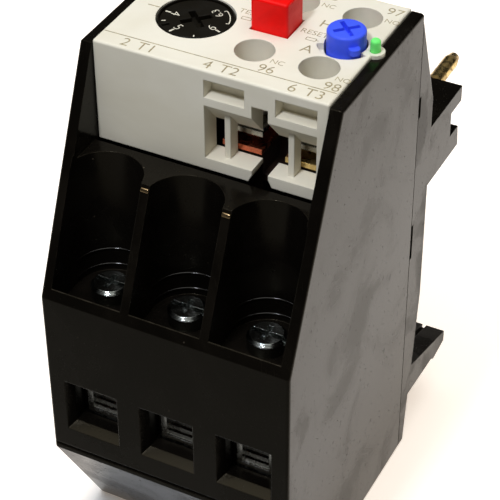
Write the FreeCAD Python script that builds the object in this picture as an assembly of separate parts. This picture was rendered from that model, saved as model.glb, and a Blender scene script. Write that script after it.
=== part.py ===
"""Three-pole thermal overload relay, plug-on type, lying on its back.

Frame, in millimetres: +X to the right across the poles, +Y from the wire entries to the
contactor side, +Z up from the back of the relay to its operating face.  The origin lies
on the underside, at the middle of the casing.
"""
import FreeCAD, Part
import math
import os

V = FreeCAD.Vector

# ---------------------------------------------------------------- driving dimensions
# Casing
CASE_WIDTH = 55.0
CHEEK_DROP = 0.7             # top edges of the side cheeks below the cover's top
CHEEK_WALL = 2.6
FRONT_Y = -33.5              # wall with the wire entries
SLOPE_FOOT_Z = 69.1          # where the sloping front meets that wall
CHIN_Z = 28.0                # where the wall turns back towards the underside
CHIN_BACK_Y = -17.8
SEAM_Y = 25.1                # joint between the housing and the rear cover
FLOOR = 2.5
EDGE_ROUND = 0.7
CHIN_GROOVE = 0.5
CHIN_GROOVE_HEIGHT = 0.9
LEDGE = 1.4                  # ledges inside the cheeks that carry the deck
LEDGE_HEIGHT = 3.0

# Poles
POLES = (-1, 0, 1)
POLE_MARGIN = 1.25           # casing outside the outer poles
PARTITION = 1.9

# Screw wells in the sloping front
WELL_Y = -23.0
WELL_FLOOR_Z = 65.9
WELL_BACK_WALL = 1.8
FRONT_WALL = 1.0

# Main terminals
SCREW_R = 2.5
SCREW_HEAD_R = 4.0
SCREW_HEAD_HEIGHT = 3.2
SCREW_POINT = 1.85           # how far the tip hangs below the cage's head
SLOT_WIDTH = 1.1
SLOT_DEPTH = 1.5
THREAD_FIT = 0.08            # radial room round a screw in its thread or hole
ENTRY_WIDTH = 12.4
ENTRY_TOP_DROP = 0.9         # top of a wire entry below the cage's head
ENTRY_HEIGHT = 13.3
ENTRY_TAPER = 2.2
CAGE_WIDTH = 8.6
CAGE_DEPTH = 10.0
CAGE_WALL = 1.3
CAGE_FLOOR_Z = 35.7
CAGE_FLOOR = 1.5
CAGE_HEAD_Z = 49.0
CAGE_HEAD = 3.4
CAGE_TRAVEL = 4.0
CAGE_ROOM = 0.4
SERRATION = 0.5
SERRATIONS = 6

# Conductors of a pole
BAR_WIDTH = 5.0
BAR_THICK = 1.5
BAR_ROOM = 0.3
STRIP_Y = 5.5
STRIP_WIDTH = 7.0
STRIP_THICK = 1.0
STRIP_TIP_GAP = 0.6          # strip's tip below the slides
FOOT_Z = 12.0
HEATER_TURNS = 8
HEATER_LOW_Z = 22.0
HEATER_TOP_DROP = 17.2       # upper lead of the winding below the deck
HEATER_ROOM = 1.6            # air between the winding and the strip
RIBBON = 1.2
BUSBAR_Y = 19.5
BUSBAR_TAB = 3.0

# Contactor pins
PIN_DROP = 6.0               # axis of the pins below the deck
PIN_R = 1.75
PIN_ROOT_R = 2.3
PIN_TIP_Y = 71.6
PIN_TAPER = 2.4
PIN_TIP_R = 1.2
PIN_FIT = 0.1

# Rear cover
BACK_Y = 33.6
BACK_FOOT_Y = 28.3
BACK_KINK_Z = 41.0
BACK_SHOULDER_DROP = 25.0    # below the top cover's face
COVER_WALL = 2.2
SEAM_GAP = 0.25
SNAP_NOTCH = 0.9
SNAP_NOTCH_DEPTH = 1.4
SNAP_NOTCHES = ((92.5, 5.0), (56.0, 9.0))    # foot and height of each notch at the seam

# Upper bracket: a beam that carries the pins into the contactor
BRACKET_RISE = 7.8           # above the axis of the pins
BRACKET_DROP = 7.2
BRACKET_DRAFT = 0.4
BRACKET_BACK_Y = 50.4
BRACKET_SLOT = 6.0
BRACKET_SLOT_DROP = 2.0      # foot of the slot below the axis of the pins
BRACKET_SLOT_DEPTH = 5.6
BRACKET_NOSE_BACK = 1.0      # how far the nose under the slot stands back
BRACKET_SHELL = 2.4

# Lower hook
HOOK_TIP_Y = 51.1
HOOK_ROOT_TOP_Z = 21.5
HOOK_ROOT_FOOT_Z = 13.5
HOOK_TIP_TOP_Z = 15.8
HOOK_TIP_FOOT_Z = 12.9
HOOK_CATCH_Y = 43.5
HOOK_CATCH_RAMP = 1.4
HOOK_CATCH = 1.0
HOOK_GROOVE = 1.0
HOOK_GROOVE_IN = 5.0         # from the casing's side

# Top cover
COVER_SEAT = 3.1             # foot of the cover below the auxiliary plates
COVER_HEIGHT = 22.4
COVER_FRONT_Y = -12.5
COVER_SHELL = 1.8
COVER_ROOM = 0.1
COVER_ROUND = 0.5
FACE_DEPTH = 4.8             # depth of the thick front with the small wire entries
SHELF = 2.6
SHELF_BEVEL = 0.8
LABEL_WIDTH = 8.5
LABEL_HEIGHT = 3.9
LABEL_DEPTH = 3.2
LABEL_TOP_DROP = 2.1
LABEL_ASIDE = 1.5            # how far the right-hand pocket stands in from its window
WINDOW_WIDTH = 10.0
WINDOW_ASIDE = 0.45          # middle of a window to the left of its screws
WINDOW_TOP_DROP = 7.8
WINDOW_BACK_DROP = 13.4      # the ceiling of a window slants down to here
SLOT_TOP_DROP = 5.1
POST = 1.2
POST_ASIDE = 1.0             # post to the left of the window's middle
POST_SETBACK = 1.8
SLEEVE = 1.0
SLEEVE_DEPTH = 9.0

# Auxiliary terminals
AUX_LEFT_IN = 23.0           # columns, from the casing's right side
AUX_RIGHT_IN = 9.6
AUX_FRONT = 10.4             # front row behind the cover's front
AUX_BACK = 7.7               # rear row before the seam
AUX_HOLE_R = 3.9
AUX_SCREW_R = 1.7
AUX_HEAD_R = 3.2
AUX_HEAD_HEIGHT = 2.2
AUX_HEAD_GAP = 0.1
AUX_PLATE_RISE = 14.7        # above the deck
AUX_PLATE = 1.2
AUX_PLATE_WIDTH = 8.4
AUX_PLATE_DEPTH = 8.8
AUX_TONGUE = 1.1             # the plate's reach towards the wires
AUX_GRIP = 2.3               # room for a wire between plate and saddle
AUX_SADDLE = 1.1
AUX_SADDLE_WIDTH = 7.2
AUX_LIP = 0.6
AUX_SCREW_REACH = 4.7        # below the plate
CONTACT_ARM = 0.8
CONTACT_ARM_WIDTH = 2.4
CONTACT_ASIDE = 1.2          # arms of the left column to the right of their screws
CONTACT_ASIDE_RIGHT = 2.5
CONTACT_FOOT_RISE = 3.8      # above the deck

# Carrier frame of the release mechanism
DECK_Z = 84.0
DECK = 2.0
UPPER_DECK_RISE = 8.6
UPPER_DECK = 1.6
PILLAR_ROOM = 0.5
ARM_ROOM = 0.2
EAR = 1.2
EAR_HALF = 2.0
EAR_TOP = 2.0                # above the strip's pivot

# Slides over the bimetal strips
SLIDE_DROP = 4.4             # foot of the slides below the deck
PARTITION_GAP = 0.2          # partitions' tops below the slides
SLIDE_HEIGHT = 2.6
SLIDE_WIDTH = 3.0
SLIDE_GAP = 0.6
SLIDE_END_IN = 6.9           # right-hand end, from the casing's side
FINGER = 1.2
FINGER_DROP = 3.4
FINGER_GAP = 0.5
RETURN_GAP = 2.9             # the rear fingers start a full travel away from the strips
PEG_R = 0.6
PEG_ROOM = 0.6               # in the lever's slot, each side of the peg
PEG_ROOM_Z = 0.3
PEG_ROOT = 1.0               # half width of the root that carries the peg

# Levers of the release
LEVER = 1.4
LEVER_WIDTH = 1.2
LEVER_ASIDE = 2.9            # to the right of the left-hand strip
LEVER_RISE = 7.8             # above the deck
LEVER_FOOT = 0.8             # wall round the slot in the lever's foot
LEVER_WINDOW = 3.0
LEVER_WINDOW_RIGHT = 4.5
PIVOT_R = 1.0
PIVOT_FIT = 0.05
STUD_R = 0.75                # of the differential lever, in the front slide
STUD_LENGTH = 1.5
HUB_WALL = 0.8
COMP_PIVOT_RISE = 16.0
COMP_FOOT_RISE = 4.9
COMP_TAIL = 1.8
COMP_THICK = 0.8
COMP_WIDTH = 4.0
TRIP_PIVOT_RISE = 12.6
TRIP_PIVOT_ASIDE = 1.6       # how far the trip pin stands beyond the lever's arm
TRIP_FOOT_RISE = 4.6
TRIP_RELIEF = 2.2            # height of the foot that the strip pushes
TRIP_THICK = 1.6
TOUCH = 0.15                 # gap between pieces that push each other
COLD_GAP = 1.3               # what the slides travel before they meet the release

# Contact carriage
CARRIAGE_RISE = 4.4          # above the deck
CARRIAGE_HEIGHT = 2.6
CARRIAGE_WIDTH = 2.2
CARRIAGE_FLOOR = 0.6         # under the blades
CARRIAGE_END = 2.0           # beyond the closing blade
CARRIAGE_ASIDE = 0.05        # to the rear of midway between the rows
CARRIAGE_TRAVEL = 2.5
BLADE = 0.6
BLADE_FIT = 0.02
BLADE_SHORT = 6.1            # blade shorter than the rows are apart

# Setting dial
DIAL_IN = 38.5               # from the casing's right side
DIAL_Y = 3.5
DIAL_R = 7.5
DIAL_ROOM = 0.35
DIAL_DROP = 0.5              # face of the dial below the cover's
DIAL_THICK = 4.0
DIAL_CHAMFER = 0.4
DIAL_SLOT = 1.4
DIAL_SLOT_REACH = 3.15
DIAL_SLOT_DEPTH = 1.6
DIAL_NOTCH = 0.7
DIAL_NOTCH_LENGTH = 2.2
DIAL_NOTCH_DEPTH = 0.5
DIAL_DEG = 135.0
DIAL_SHAFT_R = 2.5
CAM_R = 4.2
CAM_OFFSET = 1.4
CAM_DROP = 12.4
CAM = 2.4

# Test button
TEST_IN = 23.3
TEST_Y = 7.9
TEST_WIDTH = 7.8
TEST_DEPTH = 7.1
TEST_PROUD = 7.0
TEST_SUNK = 13.5             # foot of the cap below the cover's face
TEST_ROUND = 0.6
TEST_TRAVEL = 2.2
STEM_R = 2.0
STEM_FIT = 0.15

# Reset knob and plunger
RESET_IN = 8.6
RESET_Y = 7.65
KNOB_R = 3.8
KNOB_PROUD = 3.3
KNOB_SUNK = 5.6
KNOB_ROUND = 0.5
KNOB_ROOM = 0.4
KNOB_SLOT = 0.9
KNOB_SLOT_DEPTH = 1.4
KNOB_CAP = 2.6               # over the plunger's spigot
SPIGOT_GAP = 0.4
POINTER_REACH = 5.3
POINTER_WIDTH = 2.2
POINTER_HEIGHT = 1.2
POINTER_LIFT = 0.25          # above the cover's face
POINTER_DEG = -45.0
RESET_TRAVEL = 1.5
SELECTOR_SWEEP = 90.0
SELECTOR_SPARE = 20.0
FLANGE_R = 3.5
FLANGE = 1.4
FLANGE_DROP = 13.4

# Return springs
SPRING_R = 2.9
SPRING_WIRE = 0.3
SPRING_TURNS = 5

# Trip indicator
FLAG_IN = 2.7
FLAG_Y = 7.8
FLAG_R = 1.0
FLAG_FIT = 0.08
FLAG_PROUD = 2.6
FLAG_DROP = 9.8
BOSS_R = 1.9
BOSS_DROP = 10.0
BOSS_ROOM = 0.15

# ---------------------------------------------------------------- derived sizes
# Across
HALF = CASE_WIDTH / 2
INSIDE = HALF - CHEEK_WALL
COVER_HALF = INSIDE - COVER_ROOM
POLE_PITCH = (CASE_WIDTH - 2 * POLE_MARGIN) / len(POLES)
WELL_R = (POLE_PITCH - PARTITION) / 2
AUX_LEFT_X = HALF - AUX_LEFT_IN
AUX_RIGHT_X = HALF - AUX_RIGHT_IN
DIAL = (HALF - DIAL_IN, DIAL_Y)
TEST = (HALF - TEST_IN, TEST_Y)
RESET = (HALF - RESET_IN, RESET_Y)
FLAG = (HALF - FLAG_IN, FLAG_Y)
LEVER_X = LEVER_ASIDE - POLE_PITCH
COMP_X = LEVER_X + LEVER_WIDTH / 2 + COLD_GAP + COMP_THICK / 2
TRIP_X = COMP_X + COMP_THICK / 2 + TOUCH + TRIP_THICK / 2
TRIP_PIN_X = TRIP_X + TRIP_PIVOT_ASIDE
CARRIAGE_X = TRIP_X + TRIP_THICK / 2 + TOUCH

# Front to back
CAVITY_Y = WELL_Y + WELL_R + WELL_BACK_WALL
COVER_BACK_Y = SEAM_Y - COVER_ROOM
FACE_BACK_Y = COVER_FRONT_Y + FACE_DEPTH
BRACKET_SLOT_Y = BRACKET_BACK_Y - BRACKET_SLOT_DEPTH
AUX_FRONT_Y = COVER_FRONT_Y + AUX_FRONT
AUX_BACK_Y = SEAM_Y - AUX_BACK
CARRIAGE_Y = (AUX_FRONT_Y + AUX_BACK_Y) / 2 + CARRIAGE_ASIDE
BLADE_LENGTH = AUX_BACK_Y - AUX_FRONT_Y - BLADE_SHORT
FRONT_SLIDE_Y = STRIP_Y - SLIDE_GAP / 2 - SLIDE_WIDTH
REAR_SLIDE_Y = STRIP_Y + SLIDE_GAP / 2
LEVER_Y = FRONT_SLIDE_Y - TOUCH - LEVER
FRONT_EAR_Y = LEVER_Y - 2 * TOUCH - EAR
REAR_EAR_Y = CARRIAGE_Y + CARRIAGE_WIDTH / 2 + 4 * TOUCH

# Heights, up from the deck that carries the mechanism
SLIDE_Z = DECK_Z - SLIDE_DROP
SLIDE_AXIS_Z = SLIDE_Z + SLIDE_HEIGHT / 2
PEG_Z = SLIDE_Z - FINGER_DROP / 2
STRIP_TOP_Z = SLIDE_Z - STRIP_TIP_GAP
HEATER_TOP_Z = DECK_Z - HEATER_TOP_DROP
HEATER_PITCH = (HEATER_TOP_Z - HEATER_LOW_Z) / HEATER_TURNS
PIN_Z = DECK_Z - PIN_DROP
UPPER_DECK_Z = DECK_Z + UPPER_DECK_RISE
UPPER_DECK_TOP_Z = UPPER_DECK_Z + UPPER_DECK
LEVER_TOP_Z = DECK_Z + LEVER_RISE
COMP_PIVOT_Z = DECK_Z + COMP_PIVOT_RISE
COMP_FOOT_Z = DECK_Z + COMP_FOOT_RISE
TRIP_PIVOT_Z = DECK_Z + TRIP_PIVOT_RISE
TRIP_FOOT_Z = DECK_Z + TRIP_FOOT_RISE
CARRIAGE_Z = DECK_Z + CARRIAGE_RISE
CARRIAGE_TOP_Z = CARRIAGE_Z + CARRIAGE_HEIGHT
CONTACT_FOOT_Z = DECK_Z + CONTACT_FOOT_RISE
AUX_PLATE_Z = DECK_Z + AUX_PLATE_RISE
AUX_PLATE_TOP_Z = AUX_PLATE_Z + AUX_PLATE
AUX_SADDLE_Z = AUX_PLATE_TOP_Z + AUX_GRIP
AUX_HEAD_Z = AUX_SADDLE_Z + AUX_SADDLE + AUX_HEAD_GAP
AUX_SCREW_FOOT_Z = AUX_PLATE_Z - AUX_SCREW_REACH

# Heights, down from the top cover's face
COVER_FOOT_Z = AUX_PLATE_Z - COVER_SEAT
COVER_TOP_Z = COVER_FOOT_Z + COVER_HEIGHT
CHEEK_TOP_Z = COVER_TOP_Z - CHEEK_DROP
BACK_SHOULDER_Z = COVER_TOP_Z - BACK_SHOULDER_DROP
DIAL_TOP_Z = COVER_TOP_Z - DIAL_DROP
CAM_Z = COVER_TOP_Z - CAM_DROP
TEST_TOP_Z = COVER_TOP_Z + TEST_PROUD
TEST_FOOT_Z = COVER_TOP_Z - TEST_SUNK
KNOB_TOP_Z = COVER_TOP_Z + KNOB_PROUD
KNOB_FOOT_Z = COVER_TOP_Z - KNOB_SUNK
POINTER_FOOT_Z = COVER_TOP_Z + POINTER_LIFT
FLANGE_Z = COVER_TOP_Z - FLANGE_DROP
FLAG_TOP_Z = COVER_TOP_Z + FLAG_PROUD
FLAG_FOOT_Z = COVER_TOP_Z - FLAG_DROP
BOSS_FOOT_Z = COVER_TOP_Z - BOSS_DROP

# Heights of the main terminals
SCREW_TIP_Z = CAGE_HEAD_Z - SCREW_POINT
ENTRY_TOP_Z = CAGE_HEAD_Z - ENTRY_TOP_DROP
CHAMBER_TOP_Z = CAGE_HEAD_Z + CAGE_HEAD + CAGE_TRAVEL + 2 * CAGE_ROOM
BAR_Z = SCREW_TIP_Z - TOUCH - BAR_THICK

# Auxiliary terminals, numbered as on such relays
AUX = {"95": (AUX_LEFT_X, AUX_BACK_Y), "96": (AUX_LEFT_X, AUX_FRONT_Y),
       "97": (AUX_RIGHT_X, AUX_BACK_Y), "98": (AUX_RIGHT_X, AUX_FRONT_Y)}

# Modelling
FAR = 200.0                  # reaches past the whole relay
BITE = 0.5                   # how far shapes run into each other before they are joined


# ---------------------------------------------------------------- small helpers
def box(x0, x1, y0, y1, z0, z1):
    return Part.makeBox(x1 - x0, y1 - y0, z1 - z0, V(x0, y0, z0))


def upright(x, y, z0, z1, radius):
    return Part.makeCylinder(radius, z1 - z0, V(x, y, z0), V(0, 0, 1))


def along_y(x, z, y0, y1, radius):
    return Part.makeCylinder(radius, y1 - y0, V(x, y0, z), V(0, 1, 0))


def prism_x(points, x0, x1):
    """Extrude a closed outline of (y, z) points across X."""
    corners = [V(x0, y, z) for y, z in points]
    return Part.Face(Part.makePolygon(corners + corners[:1])).extrude(V(x1 - x0, 0, 0))


def prism_y(points, y0, y1):
    """Extrude a closed outline of (x, z) points along Y."""
    corners = [V(x, y0, z) for x, z in points]
    return Part.Face(Part.makePolygon(corners + corners[:1])).extrude(V(0, y1 - y0, 0))


def fuse(shapes):
    first, *rest = shapes
    return first.multiFuse(rest).removeSplitter() if rest else first


def cut(shape, tools):
    return shape.cut(Part.makeCompound(tools)).removeSplitter()


def edges_at(shape, axis, values):
    """Edges whose every point lies at one of the given places along an axis."""
    found = []
    for edge in shape.Edges:
        place = [getattr(vertex.Point, axis) for vertex in edge.Vertexes]
        if any(all(abs(p - value) < 1e-6 for p in place) for value in values):
            found.append(edge)
    return found


def save(name, shape):
    shape = shape.removeSplitter() if shape.ShapeType == "Solid" else shape
    if not shape.isValid() or not shape.Solids:
        raise ValueError(name + " is not a valid solid")
    shape.exportStep("parts/" + name + ".step")


def pole_x(pole):
    return pole * POLE_PITCH


# ---------------------------------------------------------------- casing
def wire_entry(pole):
    """Tapered mouth in the front wall, then a straight way into the clamp chamber."""
    x = pole_x(pole)
    outer = ENTRY_WIDTH / 2
    inner = outer - ENTRY_TAPER / 2
    foot = ENTRY_TOP_Z - ENTRY_HEIGHT
    chamber_y = WELL_Y - CAGE_DEPTH / 2 - CAGE_ROOM
    mouth = [V(x - outer, FRONT_Y, foot), V(x + outer, FRONT_Y, foot),
             V(x + outer, FRONT_Y, ENTRY_TOP_Z), V(x - outer, FRONT_Y, ENTRY_TOP_Z)]
    throat = [V(x - inner, FRONT_Y + ENTRY_TAPER, foot + ENTRY_TAPER / 2),
              V(x + inner, FRONT_Y + ENTRY_TAPER, foot + ENTRY_TAPER / 2),
              V(x + inner, FRONT_Y + ENTRY_TAPER, ENTRY_TOP_Z),
              V(x - inner, FRONT_Y + ENTRY_TAPER, ENTRY_TOP_Z)]
    wires = [Part.makePolygon(loop + loop[:1]) for loop in (mouth, throat)]
    taper = Part.makeLoft(wires, True)
    way = box(x - inner, x + inner, FRONT_Y + ENTRY_TAPER, chamber_y + 1,
              foot + ENTRY_TAPER / 2, ENTRY_TOP_Z)
    return [taper, way]


def clamp_chamber(pole):
    """Room for the clamp cage, and the hole above it for the screw's shank."""
    x = pole_x(pole)
    half = CAGE_WIDTH / 2 + CAGE_ROOM
    deep = CAGE_DEPTH / 2 + CAGE_ROOM
    room = box(x - half, x + half, WELL_Y - deep, WELL_Y + deep,
               CAGE_FLOOR_Z - CAGE_ROOM, CHAMBER_TOP_Z)
    shank = upright(x, WELL_Y, CHAMBER_TOP_Z - 1, WELL_FLOOR_Z + 1, SCREW_R + THREAD_FIT)
    bar_half = BAR_WIDTH / 2 + BAR_ROOM
    bar_way = box(x - bar_half, x + bar_half, WELL_Y, CAVITY_Y + 1,
                  BAR_Z - BAR_ROOM, BAR_Z + BAR_THICK + BAR_ROOM)
    return [room, shank, bar_way]


def screw_well(pole):
    """Half-round well that leads a screwdriver down to the clamp screw."""
    x = pole_x(pole)
    top = COVER_FOOT_Z + 1
    back = upright(x, WELL_Y, WELL_FLOOR_Z, top, WELL_R)
    front = box(x - WELL_R, x + WELL_R, FRONT_Y + FRONT_WALL, WELL_Y, WELL_FLOOR_Z, top)
    return [back, front]


def front_housing():
    outline = [(COVER_FRONT_Y, CHEEK_TOP_Z), (FRONT_Y, SLOPE_FOOT_Z), (FRONT_Y, CHIN_Z),
               (CHIN_BACK_Y, 0), (SEAM_Y, 0), (SEAM_Y, CHEEK_TOP_Z)]
    body = prism_x(outline, -HALF, HALF)
    rims = [edge for edge in edges_at(body, "x", (-HALF, HALF))
            if min(v.Point.y for v in edge.Vertexes) < SEAM_Y - 1]
    body = body.makeFillet(EDGE_ROUND, rims)
    tools = [box(-INSIDE, INSIDE, FRONT_Y - 1, FAR, COVER_FOOT_Z - COVER_ROOM, FAR),
             box(-INSIDE, INSIDE, CAVITY_Y, FAR, FLOOR, FAR),
             box(-HALF - 1, HALF + 1, FRONT_Y - 1, FRONT_Y + CHIN_GROOVE,
                 CHIN_Z + CHIN_GROOVE_HEIGHT, CHIN_Z + 2 * CHIN_GROOVE_HEIGHT)]
    for pole in POLES:
        tools += screw_well(pole) + clamp_chamber(pole) + wire_entry(pole)
    tools.append(indicator_pocket())
    body = cut(body, tools)
    walls = [box(x - PARTITION / 2, x + PARTITION / 2, CAVITY_Y - BITE, SEAM_Y,
                 FLOOR - BITE, SLIDE_Z - PARTITION_GAP) for x in (-POLE_PITCH / 2, POLE_PITCH / 2)]
    for side in (-1, 1):
        x0, x1 = sorted((side * (INSIDE + BITE), side * (INSIDE - LEDGE)))
        walls.append(box(x0, x1, CAVITY_Y - BITE, SEAM_Y, DECK_Z - LEDGE_HEIGHT,
                         DECK_Z - COVER_ROOM))
    return fuse([body] + walls)


def indicator_pocket():
    """Notch in the right cheek for the boss round the trip indicator."""
    x, y = FLAG
    r = BOSS_R + BOSS_ROOM
    return fuse([upright(x, y, BOSS_FOOT_Z - BOSS_ROOM, FAR, r),
                 box(x - r - 1, x, y - r, y + r, BOSS_FOOT_Z - BOSS_ROOM, FAR)])


def upper_bracket():
    """Beam behind the cover, with a slot that hooks on the contactor's edge."""
    top, foot = PIN_Z + BRACKET_RISE, PIN_Z - BRACKET_DROP
    slot_foot = PIN_Z - BRACKET_SLOT_DROP
    slot_top = slot_foot + BRACKET_SLOT
    outline = [(BACK_Y - 2 * BITE, top), (BRACKET_BACK_Y, top), (BRACKET_BACK_Y, slot_top),
               (BRACKET_SLOT_Y, slot_top), (BRACKET_SLOT_Y, slot_foot),
               (BRACKET_BACK_Y - BRACKET_NOSE_BACK, slot_foot),
               (BRACKET_BACK_Y - BRACKET_DRAFT, foot), (BACK_Y - 2 * BITE, foot)]
    beam = prism_x(outline, -HALF, HALF)
    wall = BRACKET_SHELL
    cores = []
    for x in (-POLE_PITCH / 2, POLE_PITCH / 2):
        half = POLE_PITCH / 2 - PIN_ROOT_R - wall / 2
        cores.append(box(x - half, x + half, BACK_Y + BITE, BRACKET_SLOT_Y - wall,
                         foot - 1, top - wall))
    return beam.cut(Part.makeCompound(cores))


def lower_hook():
    """Tapered arm with a catch under its tip."""
    outline = [(BACK_FOOT_Y, HOOK_ROOT_TOP_Z + 1), (BACK_Y - 3, HOOK_ROOT_TOP_Z),
               (HOOK_TIP_Y, HOOK_TIP_TOP_Z), (HOOK_TIP_Y, HOOK_TIP_FOOT_Z),
               (HOOK_CATCH_Y + HOOK_CATCH_RAMP, HOOK_TIP_FOOT_Z - HOOK_CATCH),
               (HOOK_CATCH_Y, HOOK_TIP_FOOT_Z), (BACK_FOOT_Y, HOOK_ROOT_FOOT_Z)]
    arm = prism_x(outline, -HALF, HALF)
    grooves = [box(x - HOOK_GROOVE / 2, x + HOOK_GROOVE / 2, BACK_Y, FAR,
                   HOOK_TIP_TOP_Z - HOOK_GROOVE, FAR)
               for x in (HOOK_GROOVE_IN - HALF, HALF - HOOK_GROOVE_IN)]
    return arm.cut(Part.makeCompound(grooves))


def rear_cover():
    slant = (CHEEK_TOP_Z - BACK_SHOULDER_Z) / (BACK_Y - SEAM_Y)
    front = SEAM_Y + SEAM_GAP
    top = CHEEK_TOP_Z - SEAM_GAP * slant
    outline = [(front, 0), (BACK_FOOT_Y, 0), (BACK_Y, BACK_KINK_Z),
               (BACK_Y, BACK_SHOULDER_Z), (front, top)]
    shell = prism_x(outline, -HALF, HALF)
    rims = [edge for edge in edges_at(shell, "x", (-HALF, HALF))
            if max(v.Point.y for v in edge.Vertexes) > front + 1]
    shell = shell.makeFillet(EDGE_ROUND, rims)
    wall = COVER_WALL
    inner = [(front - 1, FLOOR), (BACK_FOOT_Y - wall, FLOOR), (BACK_Y - wall, BACK_KINK_Z),
             (BACK_Y - wall, BACK_SHOULDER_Z), (front - 1, top - wall * slant)]
    hollow = prism_x(inner, -INSIDE, INSIDE)
    shell = shell.cut(hollow)
    body = fuse([shell, upper_bracket(), lower_hook()])
    tools = [along_y(pole_x(pole), PIN_Z, SEAM_Y, FAR, PIN_ROOT_R + PIN_FIT) for pole in POLES]
    for foot, height in SNAP_NOTCHES:
        for side in (-1, 1):
            x0, x1 = sorted((side * (HALF + 1), side * (HALF - SNAP_NOTCH_DEPTH)))
            tools.append(box(x0, x1, front - 1, front + SNAP_NOTCH, foot, foot + height))
    return cut(body, tools)


# ---------------------------------------------------------------- top cover
def label_pocket(x0):
    top = COVER_TOP_Z - LABEL_TOP_DROP
    return box(x0, x0 + LABEL_WIDTH, COVER_FRONT_Y - 1, COVER_FRONT_Y + LABEL_DEPTH,
               top - LABEL_HEIGHT, top)


def window_sides(aux_x):
    """Left and right sides of the window in front of a column of screws."""
    middle = aux_x - WINDOW_ASIDE
    return middle - WINDOW_WIDTH / 2, middle + WINDOW_WIDTH / 2


def entry_window(aux_x):
    """Funnel in the thick front, whose ceiling slants down to the terminal plate."""
    x0, x1 = window_sides(aux_x)
    front, back = COVER_FRONT_Y - 1, FACE_BACK_Y + 1
    foot = COVER_FOOT_Z + SHELF
    mouth_top = COVER_TOP_Z - WINDOW_TOP_DROP
    back_top = COVER_TOP_Z - WINDOW_BACK_DROP
    outline = [(front, foot), (front, mouth_top), (COVER_FRONT_Y, mouth_top),
               (FACE_BACK_Y, back_top), (back, back_top), (back, foot)]
    return prism_x(outline, x0, x1)


def entry_post(aux_x):
    """Upright post in a window that keeps its two wires apart."""
    middle = sum(window_sides(aux_x)) / 2 - POST_ASIDE
    return box(middle - POST / 2, middle + POST / 2, COVER_FRONT_Y + POST_SETBACK, FACE_BACK_Y,
               COVER_FOOT_Z + SHELF / 2, COVER_TOP_Z - WINDOW_TOP_DROP)


def middle_slot():
    """Open slot between the two windows, with the lower corners of the shelves bevelled."""
    left, right = window_sides(AUX_LEFT_X)[1], window_sides(AUX_RIGHT_X)[0]
    slot = box(left, right, COVER_FRONT_Y - 1, FACE_BACK_Y + 1,
               COVER_FOOT_Z - 1, COVER_TOP_Z - SLOT_TOP_DROP)
    wide = 1.5 * SHELF_BEVEL
    bevels = [(left - wide, COVER_FOOT_Z - SHELF_BEVEL), (left, COVER_FOOT_Z + 2 * SHELF_BEVEL),
              (right, COVER_FOOT_Z + 2 * SHELF_BEVEL), (right + wide, COVER_FOOT_Z - SHELF_BEVEL)]
    return [slot, prism_y(bevels, COVER_FRONT_Y - 1, FACE_BACK_Y + 1)]


def top_cover():
    shell = box(-COVER_HALF, COVER_HALF, COVER_FRONT_Y, COVER_BACK_Y, COVER_FOOT_Z, COVER_TOP_Z)
    rim = edges_at(shell, "z", (COVER_TOP_Z,)) + [
        edge for edge in shell.Edges
        if all(abs(v.Point.y - COVER_FRONT_Y) < 1e-6 for v in edge.Vertexes)
        and abs(edge.Vertexes[0].Point.z - edge.Vertexes[-1].Point.z) > 1]
    shell = shell.makeFillet(COVER_ROUND, rim)
    inside = COVER_HALF - COVER_SHELL
    ceiling = COVER_TOP_Z - COVER_SHELL
    shell = shell.cut(box(-inside, inside, FACE_BACK_Y, COVER_BACK_Y - COVER_SHELL,
                          COVER_FOOT_Z - 1, ceiling))
    left_end = window_sides(AUX_LEFT_X)[0] - COVER_SHELL
    hollow_left = box(-inside, left_end, COVER_FRONT_Y + COVER_SHELL, FACE_BACK_Y + 1,
                      COVER_FOOT_Z - 1, ceiling)
    tools = [hollow_left, label_pocket(window_sides(AUX_LEFT_X)[0]),
             label_pocket(window_sides(AUX_RIGHT_X)[0] + LABEL_ASIDE)]
    tools += [entry_window(AUX_LEFT_X), entry_window(AUX_RIGHT_X)] + middle_slot()
    shell = shell.cut(Part.makeCompound(tools))
    sleeves = [upright(x, y, COVER_TOP_Z - SLEEVE_DEPTH, COVER_TOP_Z - BITE, AUX_HOLE_R + SLEEVE)
               for x, y in AUX.values()]
    sleeves.append(upright(*RESET, COVER_TOP_Z - SLEEVE_DEPTH, COVER_TOP_Z - BITE,
                           KNOB_R + KNOB_ROOM + SLEEVE))
    sleeves.append(indicator_boss())
    body = fuse([shell] + sleeves + [entry_post(AUX_LEFT_X), entry_post(AUX_RIGHT_X)])
    tw = TEST_WIDTH / 2 + KNOB_ROOM / 2
    td = TEST_DEPTH / 2 + KNOB_ROOM / 2
    holes = [upright(x, y, COVER_FOOT_Z, FAR, AUX_HOLE_R) for x, y in AUX.values()]
    holes += [upright(*DIAL, COVER_TOP_Z - 4 * COVER_SHELL, FAR, DIAL_R + DIAL_ROOM),
              upright(*RESET, COVER_FOOT_Z, FAR, KNOB_R + KNOB_ROOM),
              box(TEST[0] - tw, TEST[0] + tw, TEST[1] - td, TEST[1] + td, COVER_FOOT_Z, FAR),
              upright(*FLAG, COVER_FOOT_Z, FAR, FLAG_R + FLAG_FIT), pointer_recess()]
    return cut(body, holes)


def pointer_recess():
    """Sector sunk into the cover, so that the pointer clears it when the knob is pressed."""
    depth = POINTER_FOOT_Z - RESET_TRAVEL - TOUCH
    sector = Part.makeCylinder(POINTER_REACH + 2 * TOUCH, FAR, V(0, 0, depth), V(0, 0, 1),
                               SELECTOR_SWEEP + 2 * SELECTOR_SPARE)
    sector.rotate(V(), V(0, 0, 1), POINTER_DEG - SELECTOR_SWEEP - SELECTOR_SPARE)
    sector.translate(V(*RESET, 0))
    return sector


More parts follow.
